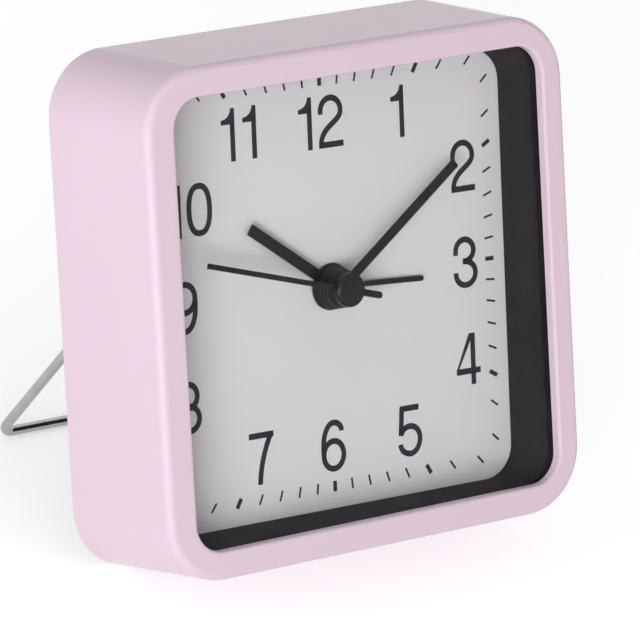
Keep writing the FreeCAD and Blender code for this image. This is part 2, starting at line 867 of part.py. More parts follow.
def make_rotor():
    low = magnet_front + magnet_length
    high = pinion_back(fifth_wheel_front, wheel_thickness)
    pinion = gear(rotor_pinion_teeth, fast_module, low, high, rotor_axis, rotor_axis_turn + 180)
    magnet = disc(magnet_radius, magnet_front, magnet_front + magnet_length, *rotor_axis)
    return join([pinion, magnet, train_arbor(rotor_axis)])


def make_stator():
    """Thin plate: a ring round the rotor's magnet and two legs out to the coil's core."""
    back = stator_front + stator_thickness
    hole_radius = magnet_radius + stator_gap
    ring = disc(hole_radius + stator_ring, stator_front, back, *rotor_axis)
    leg_right = stator_leg_left + stator_leg_width
    leg = block(stator_leg_left, leg_right, stator_front, back, stator_bottom, stator_top)
    core_right = core_centre + core_width / 2
    top_arm = block(
        stator_leg_left, core_right, stator_front, back, stator_top - stator_leg_width, stator_top
    )
    bottom_arm = block(
        stator_leg_left, core_right, stator_front, back, stator_bottom, stator_bottom + stator_leg_width
    )
    hole = disc(hole_radius, stator_front - cut_overrun, back + cut_overrun, *rotor_axis)
    return join([ring, leg, top_arm, bottom_arm]).cut(hole)


def core_box(margin, z_low, z_high):
    """Box round the coil's core, grown by a margin on its four long sides."""
    half = core_width / 2 + margin
    front = stator_front - stator_thickness - margin
    return block(
        core_centre - half, core_centre + half, front, stator_front + margin, z_low, z_high
    )


def make_coil_core():
    return core_box(0, stator_bottom, stator_top)


def make_coil_bobbin():
    tube = core_box(bobbin_wall, bobbin_bottom, bobbin_top)
    flange_margin = bobbin_wall + winding_depth
    lower = core_box(flange_margin, bobbin_bottom - bobbin_flange, bobbin_bottom)
    upper = core_box(flange_margin, bobbin_top, bobbin_top + bobbin_flange)
    core = core_box(0, bobbin_bottom - bobbin_flange - cut_overrun, bobbin_top + cut_overrun)
    return join([tube, lower, upper]).cut(core)


def make_coil_winding():
    full = core_box(bobbin_wall + winding_depth, bobbin_bottom, bobbin_top)
    long_edges = [edge for edge in full.Edges if abs(edge.tangentAt(0).z) > 1 / 2]
    full = full.makeFillet(winding_depth, long_edges)
    inside = core_box(bobbin_wall, bobbin_bottom - cut_overrun, bobbin_top + cut_overrun)
    return full.cut(inside)


def pillar_places():
    """The four places where the middle plate is held, near its corners."""
    left = middle_plate_left + pillar_inset
    right = middle_plate_right - pillar_inset
    low = middle_plate_bottom + pillar_inset
    high = middle_plate_top - pillar_inset
    return [(x, z) for x in (left, right) for z in (low, high)]


def pillar_tip_places():
    """Two opposite pillars have a tip that enters the middle plate."""
    places = pillar_places()
    return [places[0], places[-1]]


def board_peg_places():
    reach = board_half_width - board_peg_inset
    middle = (board_bottom + board_top) / 2
    return [(side * reach, middle) for side in (-1, 1)]


def make_front_plate():
    """Open box on the dial: floor, walls, pillars, pegs for the board and two screw ears."""
    outline = (-movement_half_width, movement_half_width, movement_bottom, movement_top)
    box = rounded_slab(*outline, movement_corner_radius, dial_back, back_plate_front)
    inside = rounded_slab(
        -movement_half_width + movement_wall,
        movement_half_width - movement_wall,
        movement_bottom + movement_wall,
        movement_top - movement_wall,
        movement_corner_radius - movement_wall,
        front_plate_back,
        back_plate_front + cut_overrun,
    )
    plate = box.cut(inside)
    posts = []
    for x, z in pillar_places():
        posts.append(square_post(pillar_half, front_plate_back, middle_plate_front, x, z))
    tip_end = middle_plate_front + middle_plate_thickness
    for x, z in pillar_tip_places():
        posts.append(square_post(pillar_tip_half, middle_plate_front, tip_end, x, z))
    for x, z in board_peg_places():
        posts.append(square_post(board_peg_half, front_plate_back, board_front, x, z))
    ear_low = dial_back + dial_boss_height
    for side, (x, z) in zip((-1, 1), ear_screw_places()):
        ends = sorted((side * (movement_half_width - movement_wall), x + side * ear_half_height))
        ear = block(*ends, ear_low, ear_low + ear_thickness, z - ear_half_height, z + ear_half_height)
        hole = disc(
            screw_shank_radius + running_gap,
            ear_low - cut_overrun,
            ear_low + ear_thickness + cut_overrun,
            x,
            z,
        )
        posts.append(ear.cut(hole))
    bores = [
        disc(
            alarm_tube_radius + running_gap,
            dial_back - cut_overrun,
            front_plate_back + cut_overrun,
            *centre_axis,
        )
    ]
    pocket_front = front_plate_back - pivot_depth - running_gap
    for axis in (time_knob_axis, alarm_knob_axis):
        radius = setting_arbor_radius + running_gap
        bores.append(disc(radius, pocket_front, front_plate_back + cut_overrun, *axis))
    return join([plate] + posts).cut(bores + make_wall_notches())


def make_wall_notches():
    """Notches in the box's edge for the contacts' strips and the leaf springs."""
    front = board_front + board_thickness - sliding_gap
    back = back_plate_front + cut_overrun
    wall = movement_half_width - movement_wall
    low = board_middle() - strip_half_width - sliding_gap
    high = board_middle() + strip_half_width + sliding_gap
    notches = []
    for side in (-1, 1):
        ends = sorted((side * (wall - cut_overrun), side * (movement_half_width + cut_overrun)))
        notches.append(block(*ends, front, back, low, high))
    places = [(x, buzzer_leaf_half_width) for x in buzzer_leaf_places()]
    places.append((switch_offset, switch_leaf_half_width))
    for x, half_width in places:
        half = half_width + sliding_gap
        bottom = movement_bottom - cut_overrun
        top = movement_bottom + movement_wall + cut_overrun
        notches.append(block(x - half, x + half, front, back, bottom, top))
    return notches


def make_middle_plate():
    back = middle_plate_front + middle_plate_thickness
    plate = block(
        middle_plate_left,
        middle_plate_right,
        middle_plate_front,
        back,
        middle_plate_bottom,
        middle_plate_top,
    )
    stud_front = pinion_front(hour_wheel_front)
    stud = disc(minute_stud_radius, stud_front, middle_plate_front, *minute_axis)
    rests = []
    rest_middle = stator_leg_left + stator_leg_width / 2
    for z in (stator_top - stator_leg_width / 2, stator_bottom + stator_leg_width / 2):
        rests.append(square_post(stator_rest_half, back, stator_front, rest_middle, z))
    ends = (middle_plate_front - cut_overrun, back + cut_overrun)
    holes = [disc(clutch_tube_radius + running_gap, *ends, *centre_axis)]
    holes += [disc(setting_arbor_radius + running_gap, *ends, *axis) for axis in knob_axes()]
    holes += [square_post(pillar_tip_half, *ends, x, z) for x, z in pillar_tip_places()]
    pivot_front = back - pivot_depth - running_gap
    for axis in (third_axis, fifth_axis, rotor_axis):
        radius = train_arbor_radius + running_gap
        holes.append(disc(radius, pivot_front, back + cut_overrun, *axis))
    return join([plate, stud] + rests).cut(holes)


def knob_axes():
    return time_knob_axis, alarm_knob_axis


def make_back_plate():
    back = back_plate_front + back_plate_thickness
    outline = (-movement_half_width, movement_half_width, movement_bottom, movement_top)
    plate = rounded_slab(*outline, movement_corner_radius, back_plate_front, back)
    ends = (back_plate_front - cut_overrun, back + cut_overrun)
    holes = [disc(setting_arbor_radius + running_gap, *ends, *axis) for axis in knob_axes()]
    pivot_end = back_plate_front + pivot_depth + running_gap
    for axis in (third_axis, fifth_axis, rotor_axis):
        radius = train_arbor_radius + running_gap
        holes.append(disc(radius, back_plate_front - cut_overrun, pivot_end, *axis))
    second_bore = second_arbor_radius + running_gap
    holes.append(disc(second_bore, back_plate_front - cut_overrun, pivot_end, *centre_axis))
    return plate.cut(holes)


def make_movement_screws():
    """Two pan-head screws through the movement's ears into the dial's bosses."""
    screws = []
    seat = dial_back + dial_boss_height + ear_thickness
    for x, z in ear_screw_places():
        shank_front = dial_back + dial_boss_height - screw_depth
        shank = disc(screw_shank_radius, shank_front, seat, x, z)
        head = disc(screw_head_radius, seat, seat + screw_head_height, x, z)
        slot = block(
            x - screw_head_radius,
            x + screw_head_radius,
            seat + screw_head_height - screw_slot_depth,
            seat + screw_head_height + cut_overrun,
            z - screw_slot_width / 2,
            z + screw_slot_width / 2,
        )
        screws.append(join([shank, head]).cut(slot))
    return Part.makeCompound(screws)


def make_circuit_board():
    back = board_front + board_thickness
    return block(-board_half_width, board_half_width, board_front, back, board_bottom, board_top)


def board_middle():
    return (board_bottom + board_top) / 2


def make_chip():
    """Black resin drop over the bare chip."""
    back = board_front + board_thickness
    drop = disc(chip_radius, back, back + chip_height, chip_offset, board_middle())
    return drop.makeChamfer(chip_edge_slope, edges_in_plane(drop, back + chip_height))


def make_crystal():
    """Quartz crystal in its small can, lying on the board."""
    y = board_front + board_thickness + crystal_radius
    end = crystal_offset + crystal_length
    return rod_along_x(crystal_radius, crystal_offset, end, y, board_middle())


def board_leaf(x_middle, half_width, touch):
    """Leaf spring from the board's lower edge out of the movement and back to depth touch."""
    board_back = board_front + board_thickness
    bend = movement_bottom - leaf_bend_below
    line = [
        (board_back, board_bottom + leaf_board_lap),
        (board_back, bend),
        (touch - leaf_thickness, bend - leaf_slant),
        (touch - leaf_thickness, bend - leaf_slant - leaf_toe),
    ]
    outline = line + [(y + leaf_thickness, z) for y, z in reversed(line)]
    return prism_along_x(outline, x_middle - half_width, x_middle + half_width)


def buzzer_leaf_places():
    return [side * buzzer_leaf_offset for side in (-1, 1)]


def make_buzzer_springs():
    """Two leaf springs that feed the buzzer from the board."""
    touch = cover_front - buzzer_step - buzzer_thickness
    return Part.makeCompound(
        [board_leaf(x, buzzer_leaf_half_width, touch) for x in buzzer_leaf_places()]
    )


def make_switch_spring():
    """Leaf spring that bears on the flange of the alarm switch."""
    flange_front = cover_front - sliding_gap - switch_flange_thickness
    return board_leaf(switch_offset, switch_leaf_half_width, flange_front - running_gap)


def make_alarm_spring():
    """Leaf on the middle plate that pushes the hour wheel's cam towards the alarm wheel."""
    wheel_back = hour_wheel_front + slow_wheel_thickness + running_gap
    seat = middle_plate_front - leaf_thickness
    line = [
        (alarm_leaf_inner, wheel_back),
        (alarm_leaf_inner + alarm_leaf_half_width, wheel_back),
        (alarm_leaf_outer, seat),
        (alarm_leaf_outer + alarm_leaf_pad, seat),
    ]
    outline = line + [(x, y + leaf_thickness) for x, y in reversed(line)]
    low = dial_rise - alarm_leaf_half_width
    ring = [Vector(x, y, low) for x, y in outline]
    face = Part.Face(Part.makePolygon(ring + ring[:1]))
    return face.extrude(Vector(0, 0, 2 * alarm_leaf_half_width))


def make_back_cover():
    half = case_rear_half - cover_edge_wall - sliding_gap
    radius = case_corner_radius - cover_edge_wall - sliding_gap
    plate = square_slab(half, radius, cover_front, case_depth)
    pieces = [plate, make_housing_block(), make_compartment_block()]
    pieces += make_clamp_ribs() + make_hooks() + make_stand_lugs() + [make_buzzer_ring()]
    cover = join(pieces)
    cuts = make_compartment_cuts() + make_sound_slots() + [make_switch_slot()]
    for axis in knob_axes():
        bore_radius = setting_arbor_radius + running_gap
        cuts.append(disc(bore_radius, cover_front - cut_overrun, case_depth + cut_overrun, *axis))
    return cover.cut(cuts)


def make_housing_block():
    outline = (-housing_half_width, housing_half_width, housing_bottom, housing_top)
    body = rounded_slab(*outline, housing_corner_radius, cover_front, housing_back)
    return body.makeChamfer(housing_edge_slope, edges_in_plane(body, housing_back))


def make_compartment_block():
    reach = compartment_half_length + compartment_wall
    rise = compartment_half_height + compartment_wall
    return block(
        -reach, reach, compartment_front, cover_front, cell_height - rise, cell_height + rise
    )


def make_compartment_cuts():
    """The room for the cell, the door's recess, its latch notch and its two pin holes."""
    floor = compartment_front + compartment_floor
    room = block(
        -compartment_half_length,
        compartment_half_length,
        floor,
        housing_back + cut_overrun,
        cell_height - compartment_half_height,
        cell_height + compartment_half_height,
    )
    recess = block(
        -door_half_length - door_gap,
        door_half_length + door_gap,
        door_front - running_gap,
        housing_back + cut_overrun,
        recess_bottom,
        recess_top,
    )
    notch_half = door_latch_half_width + door_gap
    notch = block(
        -notch_half,
        notch_half,
        door_front - running_gap,
        housing_back + cut_overrun,
        recess_top - door_ledge,
        recess_top + door_latch_reach,
    )
    reach = door_half_length + door_pin_length + running_gap
    pins = rod_along_x(door_pin_radius + running_gap, -reach, reach, door_hinge_y, door_hinge_z)
    floor_low = cell_height - compartment_half_height - compartment_wall - cut_overrun
    strip_slots = []
    for side in (-1, 1):
        ends = [side * (compartment_half_length - inset) for inset in (contact_thickness, 0)]
        edges = (strip_y - strip_half_width, strip_y + strip_half_width)
        strip_slots.append(block(*sorted(ends), *edges, floor_low, cell_height))
    return [room, recess, notch, pins] + strip_slots


def make_clamp_ribs():
    """Square pillars that press the dial's edge against the frame."""
    places = [(-clamp_rib_place, 0), (clamp_rib_place, 0)]
    places += [(side * bottom_clamp_offset, -clamp_rib_place) for side in (-1, 1)]
    return [square_post(clamp_rib_half, dial_back, cover_front, x, z) for x, z in places]


def make_hooks():
    """Four snap hooks whose noses sit in front of the catches in the shell."""
    hooks = []
    tip = cover_front - hook_length
    wall = case_half_at(tip) - case_wall
    outer = wall - sliding_gap - hook_nose
    for side in (-1, 1):
        for height in (-hook_height, hook_height):
            arm_ends = sorted((side * (outer - hook_thickness), side * outer))
            nose_ends = sorted((side * (outer - hook_thickness), side * (outer + hook_nose)))
            low = height - hook_width / 2
            high = height + hook_width / 2
            hooks.append(block(*arm_ends, tip, cover_front, low, high))
            hooks.append(block(*nose_ends, tip, tip + hook_nose_length, low, high))
    return hooks


def leg_direction():
    """Unit vector down the open leg and the unit vector on its upper side, both as (y, z)."""
    angle = math.radians(stand_open_angle)
    return (math.sin(angle), -math.cos(angle)), (math.cos(angle), math.sin(angle))


def make_stand_lugs():
    """Two bored lugs for the wire's ends, each with a beak that stops the open leg."""
    along, above = leg_direction()
    lift = wire_radius + stop_gap
    stop_points = []
    for step, extra in ((stop_start, 0), (stop_end, 0), (stop_end, stop_depth / 2)):
        y = stand_pivot_y + step * along[0] + (lift + extra) * above[0]
        z = stand_pivot_height + step * along[1] + (lift + extra) * above[1]
        stop_points.append((y, z))
    inside_y = cover_front + cover_thickness / 2
    top = stand_pivot_height + stop_rise
    beak = [(inside_y, stop_points[0][1])] + stop_points
    beak += [(stop_points[0][0], top), (inside_y, top)]
    lug_outer = stand_pivot_half - stand_bend_radius - lug_side_gap
    pieces = []
    for side in (-1, 1):
        lug_ends = sorted((side * (lug_outer - lug_width), side * lug_outer))
        base = block(
            *lug_ends,
            inside_y,
            stand_pivot_y,
            stand_pivot_height - lug_radius,
            stand_pivot_height + lug_radius,
        )
        nose = rod_along_x(lug_radius, *lug_ends, stand_pivot_y, stand_pivot_height)
        stop_ends = sorted((side * lug_outer, side * (lug_outer + stop_width)))
        tie_ends = sorted((side * (lug_outer - lug_width), side * (lug_outer + stop_width)))
        tie = block(*tie_ends, inside_y, stop_points[0][0], stop_points[0][1], top)
        lug = join([base, nose, tie, prism_along_x(beak, *stop_ends)])
        bore_ends = sorted((side * (lug_outer - lug_width - cut_overrun), side * lug_outer))
        bore = rod_along_x(
            wire_radius + running_gap, *bore_ends, stand_pivot_y, stand_pivot_height
        )
        pieces.append(lug.cut(bore))
    return pieces


def make_buzzer_ring():
    """Low ring inside the cover; the buzzer's disc is glued on its edge."""
    front = cover_front - buzzer_step
    ring = disc(buzzer_radius + buzzer_ring_edge, front, cover_front, 0, buzzer_centre)
    room = disc(buzzer_radius - buzzer_step, front - cut_overrun, cover_front, 0, buzzer_centre)
    return ring.cut(room)


def make_sound_slots():
    """Upright slots that fill a round field over the buzzer."""
    slots = []
    half_width = sound_slot_width / 2
    for index in range(sound_slot_count):
        x = (index - (sound_slot_count - 1) / 2) * sound_slot_pitch
        reach = math.sqrt(sound_field_radius**2 - x**2)
        slots.append(
            block(
                x - half_width,
                x + half_width,
                cover_front - cut_overrun,
                case_depth + cut_overrun,
                buzzer_centre - reach,
                buzzer_centre + reach,
            )
        )
    return slots


def make_switch_slot():
    half_width = switch_thumb_half_width + sliding_gap
    return block(
        switch_offset - half_width,
        switch_offset + half_width,
        cover_front - cut_overrun,
        case_depth + cut_overrun,
        switch_height - switch_thumb_length / 2 - sliding_gap - switch_travel,
        switch_height + switch_thumb_length / 2 + sliding_gap,
    )


def make_switch_slider():
    """Thumb piece of the alarm switch, with the flange that keeps it under the cover."""
    thumb = block(
        switch_offset - switch_thumb_half_width,
        switch_offset + switch_thumb_half_width,
        cover_front - sliding_gap,
        case_depth + switch_thumb_rise,
        switch_height - switch_thumb_length / 2,
        switch_height + switch_thumb_length / 2,
    )
    flange_back = cover_front - sliding_gap
    flange = block(
        switch_offset - switch_flange_half_width,
        switch_offset + switch_flange_half_width,
        flange_back - switch_flange_thickness,
        flange_back,
        switch_height - switch_flange_length / 2,
        switch_height + switch_flange_length / 2,
    )
    return join([thumb, flange])


def make_buzzer_disc():
    back = cover_front - buzzer_step
    return disc(buzzer_radius, back - buzzer_thickness, back, 0, buzzer_centre)


def make_battery_door():
    """Door with a round lower edge on two pins, a latch tongue and grip ridges."""
    top = recess_top - door_gap
    plate = block(
        -door_half_length, door_half_length, door_front, door_back, door_hinge_z, top
    )
    barrel = rod_along_x(
        door_thickness / 2, -door_half_length, door_half_length, door_hinge_y, door_hinge_z
    )
    pin_reach = door_half_length + door_pin_length
    pins = rod_along_x(door_pin_radius, -pin_reach, pin_reach, door_hinge_y, door_hinge_z)
    latch_front = door_hinge_y - door_latch_thickness / 2
    latch = block(
        -door_latch_half_width,
        door_latch_half_width,
        latch_front,
        latch_front + door_latch_thickness,
        top - door_latch_reach,
        recess_top + door_latch_reach - door_gap,
    )
    ridges = []
    for index in range(door_ridge_count):
        z = top - door_latch_reach - (index + 1) * door_ridge_pitch
        ridges.append(
            block(
                -door_ridge_half_width,
                door_ridge_half_width,
                door_back,
                door_back + door_ridge_height,
                z - door_ridge_width / 2,
                z + door_ridge_width / 2,
            )
        )
    return join([plate, barrel, pins, latch] + ridges)


def cell_ends():
    """Where the cell's two ends lie along X: its nub touches the positive contact."""
    right = compartment_half_length - contact_thickness
    return right - cell_length, right


def make_battery_cell():
    left, right = cell_ends()
    can_end = right - cell_nub_length
    can = rod_along_x(cell_radius, left, can_end, cell_axis_y, cell_height)
    can = can.makeChamfer(cell_edge_chamfer, [edge for edge in can.Edges if edge.isClosed()])
    nub = rod_along_x(cell_nub_radius, can_end - cell_edge_chamfer, right, cell_axis_y, cell_height)
    return join([can, nub])


def contact_plate(x_low, x_high):
    return block(
        x_low,
        x_high,
        compartment_front + compartment_floor,
        cell_axis_y + contact_half_width,
        cell_height - contact_half_width,
        cell_height + contact_half_width,
    )


def contact_strip(side):
    """Strip of a contact: down past the movement, then in through its wall onto the board."""
    outer = compartment_half_length
    ends = sorted((side * (outer - contact_thickness), side * outer))
    low = board_middle() - strip_half_width
    top = cell_height - contact_half_width
    down = block(*ends, strip_y - strip_half_width, strip_y + strip_half_width, low, top)
    inner_ends = sorted((side * (board_half_width - strip_board_lap), side * outer))
    board_back = board_front + board_thickness
    across = block(
        *inner_ends, board_back, board_back + contact_thickness, low, low + 2 * strip_half_width
    )
    return [down, across]


def make_positive_contact():
    right = compartment_half_length
    return join([contact_plate(right - contact_thickness, right)] + contact_strip(1))


def make_negative_contact():
    """Plate with a bent leaf spring that presses on the cell's flat end."""
    left = -compartment_half_length
    plate_face = left + contact_thickness
    cell_left = cell_ends()[0]
    free_end = plate_face + contact_thickness + loose_gap
    leaf = [
        (plate_face, cell_height + leaf_reach),
        (cell_left, cell_height + leaf_nose),
        (cell_left, cell_height - leaf_nose),
        (free_end, cell_height - leaf_reach),
    ]
    leaf += [(x - contact_thickness, z) for x, z in reversed(leaf)]
    spring = prism_along_y(leaf, cell_axis_y - leaf_half_width, cell_axis_y + leaf_half_width)
    return join([contact_plate(left, plate_face), spring] + contact_strip(-1))


def rounded_path(points, radius):
    """Straight runs joined by tangent arcs of one radius."""
    edges = []
    start = points[0]
    for before, corner, after in zip(points, points[1:], points[2:]):
        incoming = (corner - before).normalize()
        outgoing = (after - corner).normalize()
        turn = incoming.getAngle(outgoing)
        reach = radius * math.tan(turn / 2)
        arc_start = corner - incoming * reach
        arc_end = corner + outgoing * reach
        inward = (outgoing - incoming).normalize()
        depth = radius / math.cos(turn / 2) - radius
        edges.append(Part.LineSegment(start, arc_start).toShape())
        edges.append(Part.Arc(arc_start, corner + inward * depth, arc_end).toShape())
        start = arc_end
    edges.append(Part.LineSegment(start, points[-1]).toShape())
    return Part.Wire(edges)


def stand_point(x, along_leg):
    along, _ = leg_direction()
    y = stand_pivot_y + along_leg * along[0]
    z = stand_pivot_height + along_leg * along[1]
    return Vector(x, y, z)


def make_wire_stand():
    """One bent wire: an end in each lug, two legs that spread, and a straight foot bar."""
    end_half = stand_pivot_half - stand_end_inset
    points = [
        stand_point(-end_half, 0),
        stand_point(-stand_pivot_half, 0),
        stand_point(-stand_foot_half, stand_leg_length),
        stand_point(stand_foot_half, stand_leg_length),
        stand_point(stand_pivot_half, 0),
        stand_point(end_half, 0),
    ]
    path = rounded_path(points, stand_bend_radius)
    profile = Part.Wire(Part.makeCircle(wire_radius, points[0], Vector(1, 0, 0)))
    return path.makePipeShell([profile], True, False)


def make_pieces():
    """Every piece of the clock by name, in the case's own frame."""
    return {
        "case_shell": make_case_shell(),
        "lens": make_lens(),
        "inner_frame": make_inner_frame(),
        "dial_plate": make_dial_plate(),
        "alarm_hand": make_alarm_hand(),
        "hour_hand": make_hour_hand(),
        "minute_hand": make_minute_hand(),
        "second_hand": make_second_hand(),
        "alarm_wheel": make_alarm_wheel(),
        "hour_wheel": make_hour_wheel(),
        "minute_wheel": make_minute_wheel(),
        "cannon_pinion": make_cannon_pinion(),
        "centre_wheel": make_centre_wheel(),
        "third_wheel": make_third_wheel(),
        "seconds_wheel": make_seconds_wheel(),
        "fifth_wheel": make_fifth_wheel(),
        "rotor": make_rotor(),
        "stator": make_stator(),
        "coil_core": make_coil_core(),
        "coil_bobbin": make_coil_bobbin(),
        "coil_winding": make_coil_winding(),
        "movement_front_plate": make_front_plate(),
        "movement_middle_plate": make_middle_plate(),
        "movement_back_plate": make_back_plate(),
        "movement_screws": make_movement_screws(),
        "circuit_board": make_circuit_board(),
        "controller_chip": make_chip(),
        "quartz_crystal": make_crystal(),
        "time_setting_arbor": make_time_arbor(),
        "time_setting_knob": make_knob(time_knob_axis),
        "alarm_setting_arbor": make_alarm_arbor(),
        "alarm_setting_knob": make_knob(alarm_knob_axis),
        "back_cover": make_back_cover(),
        "buzzer_disc": make_buzzer_disc(),
        "buzzer_springs": make_buzzer_springs(),
        "switch_spring": make_switch_spring(),
        "alarm_spring": make_alarm_spring(),
        "alarm_switch": make_switch_slider(),
        "battery_door": make_battery_door(),
        "battery_cell": make_battery_cell(),
        "positive_contact": make_positive_contact(),
        "negative_contact": make_negative_contact(),
        "wire_stand": make_wire_stand(),
    }


def lean_angle():
    """Turn about X that puts the case's rear lower edge and the foot bar on one table top."""
    foot = stand_point(0, stand_leg_length)
    up = foot.z + case_rear_half
    behind = foot.y - case_depth
    reach = math.hypot(up, behind)
    return math.degrees(math.acos(wire_radius / reach) - math.atan2(behind, up))


def leaned(shape, angle):
    copy = shape.copy()
    copy.rotate(Vector(0, 0, 0), Vector(1, 0, 0), -angle)
    return copy


def corner_points(shape):
    facet_error = 0.02
    return shape.tessellate(facet_error)[0]


def main():
    os.makedirs("parts", exist_ok=True)
    angle = lean_angle()
    pieces = {name: leaned(shape, angle) for name, shape in make_pieces().items()}
    shell_points = corner_points(pieces["case_shell"])
    foot_points = corner_points(pieces["wire_stand"])
    front = min(point.y for point in shell_points)
    back = max(point.y for point in foot_points)
    table = min(point.z for point in shell_points)
    move = Vector(0, -(front + back) / 2, -table)
    for name, shape in pieces.items():
        shape.translate(move)
        shape.exportStep("parts/" + name + ".step")
        solids = len(shape.Solids)
        print(name, "solids", solids, "valid", shape.isValid(), "volume", round(shape.Volume, 2))
    print("lean", round(angle, 3), "move", round(move.y, 4), round(move.z, 4))
    print("foot low", round(min(point.z for point in foot_points) - table, 3))


main()
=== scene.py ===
"""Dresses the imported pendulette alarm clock: smooth case, dial print, hands, back, finishes and stage.

The clock's own frame, used for every new piece, has its origin in the middle of the front plane:
x to the right as one faces the dial, y into the clock and z up along the dial. Lengths are metres.
"""

import json
import math

import bmesh
import bpy
import numpy as np
from bpy.props import FloatProperty, FloatVectorProperty, IntProperty, PointerProperty
from mathutils import Matrix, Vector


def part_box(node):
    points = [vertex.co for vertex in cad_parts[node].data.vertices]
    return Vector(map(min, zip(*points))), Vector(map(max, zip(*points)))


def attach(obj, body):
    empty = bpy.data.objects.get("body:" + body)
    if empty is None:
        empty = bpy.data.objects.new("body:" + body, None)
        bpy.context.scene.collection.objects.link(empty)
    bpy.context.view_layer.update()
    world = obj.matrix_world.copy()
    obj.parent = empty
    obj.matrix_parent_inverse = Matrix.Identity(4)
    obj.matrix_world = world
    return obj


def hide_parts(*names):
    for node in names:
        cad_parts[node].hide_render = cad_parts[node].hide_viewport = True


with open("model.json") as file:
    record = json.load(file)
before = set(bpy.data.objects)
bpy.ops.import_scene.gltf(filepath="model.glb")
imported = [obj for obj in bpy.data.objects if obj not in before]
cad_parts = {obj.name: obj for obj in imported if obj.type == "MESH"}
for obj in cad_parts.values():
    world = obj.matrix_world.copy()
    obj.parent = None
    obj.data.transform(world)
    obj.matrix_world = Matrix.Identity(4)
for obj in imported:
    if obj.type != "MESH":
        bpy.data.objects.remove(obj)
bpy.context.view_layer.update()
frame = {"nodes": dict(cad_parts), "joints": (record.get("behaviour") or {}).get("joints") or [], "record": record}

bl_info = {
    "name": "Pendulette Alarm Clock",
    "version": (1, 0, 0),
    "blender": (4, 5, 0),
    "location": "3D View > Sidebar > Clock",
    "description": "Builds the visible pieces, finishes and stage of a small alarm clock on a wire stand",
    "category": "Object",
}

MM = 0.001
QUARTER = math.pi / 2


# The clock's own frame


def row_points(node):
    """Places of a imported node's vertices in the row frame."""
    mesh = frame["nodes"][node].data
    places = np.empty(3 * len(mesh.vertices))
    mesh.vertices.foreach_get("co", places)
    return places.reshape(-1, 3)


def joint_named(name):
    return next(joint for joint in frame["joints"] if joint["name"] == name)


INTO = np.array(joint_named("minute_hand_turn")["axis"], float)
INTO /= np.linalg.norm(INTO)
RIGHT = np.array((1.0, 0.0, 0.0))
UP = np.cross(RIGHT, INTO)
AXES = np.stack((RIGHT, INTO, UP))


def front_middle():
    """Middle of the case's front plane, measured along the clock's own axes."""
    reach = row_points("case_shell") @ AXES.T
    low, high = reach.min(0), reach.max(0)
    return np.array(((low[0] + high[0]) / 2, low[1], (low[2] + high[2]) / 2))


FRONT_MIDDLE = front_middle()


def in_row(places):
    """Turns places from the clock's own frame into the row frame."""
    return (np.asarray(places, float) + FRONT_MIDDLE) @ AXES


def in_clock(places):
    """Turns places from the row frame into the clock's own frame."""
    return np.asarray(places, float) @ AXES.T - FRONT_MIDDLE


def span(node):
    """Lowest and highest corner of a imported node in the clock's own frame."""
    places = in_clock(row_points(node))
    return places.min(0), places.max(0)


SHELL_LOW, SHELL_HIGH = span("case_shell")
DIAL_LOW, DIAL_HIGH = span("dial_plate")
HAND_AXIS = in_clock(joint_named("minute_hand_turn")["pos_m"])[[0, 2]]


def screen(red, green, blue):
    """Turns a colour as seen on a screen, 0 to 255, into the linear colour that a shader takes."""
    shares = np.array((red, green, blue)) / 255
    return tuple(np.where(shares <= 0.04045, shares / 12.92, ((shares + 0.055) / 1.055) ** 2.4))


# Settings that a user would change


def length(name, description, millimetres):
    return FloatProperty(
        name=name, description=description, default=millimetres * MM, unit="LENGTH", precision=5
    )


def angle(name, description, degrees):
    return FloatProperty(
        name=name, description=description, default=math.radians(degrees), subtype="ANGLE"
    )


def colour(name, description, red, green, blue):
    return FloatVectorProperty(
        name=name,
        description=description,
        default=screen(red, green, blue),
        subtype="COLOR",
        min=0,
        max=1,
    )


class CaseSizes(bpy.types.PropertyGroup):
    corner: length("Corner radius", "Radius of the four corners seen from the front", 10.0)
    front_inset: length("Draft", "How much smaller each side's half width is at the front", 0.9)
    front_wide: length("Front width", "How much wider than high each half of the front is", 0.2)
    front_round: length("Front round", "Radius of the rounded front edge", 1.2)
    wall: length("Wall", "Thickness of the side walls", 1.6)
    rim: length("Rim", "Thickness of the front rim", 1.8)
    window: length("Window", "Half width of the window", 34.55)
    window_corner: length("Window corner", "Radius of the window's corners", 4.7)
    window_right: length("Window shift right", "How far the window lies right of the middle", 0.6)
    window_up: length("Window shift up", "How far the window lies above the middle", -0.1)
    lip: length("Lip", "Radius of the window's front edge", 0.55)
    cover_edge: length("Cover seat wall", "Wall left round the back cover", 1.1)
    cover_depth: length("Cover seat", "Depth of the seat of the back cover", 1.6)
    catch_front: length("Catch place", "Depth at which the four catches start", 19.15)
    catch_length: length("Catch length", "Length of a catch along the depth", 1.2)
    catch_depth: length("Catch", "How far a catch stands out of the wall", 0.5)
    catch_height: length("Catch height", "How far the catches lie above and below the middle", 22.0)
    catch_half: length("Catch width", "Half the width of a catch", 4.3)
    edge: length("Edge", "Radius of the small edges", 0.12)
    opening: length("Frame opening", "Half width of the black frame's opening", 34.95)
    dial_opening: length("Dial opening", "Half width of the black frame's opening at the dial", 33.95)
    opening_turn: angle("Opening turn", "How far the opening at the dial is turned clockwise", 0.8)
    opening_right: length("Opening shift right", "How far it lies right of the middle", -0.2)
    opening_up: length("Opening shift up", "How far it lies above the middle", -0.18)
    opening_corner: length("Frame corner", "Radius of the black frame's corners", 5.2)
    frame_wall: length("Frame wall", "Thickness of the black frame's wall", 1.2)
    flange_corner: length("Flange corner", "Corner radius of the black frame's flange", 7.6)


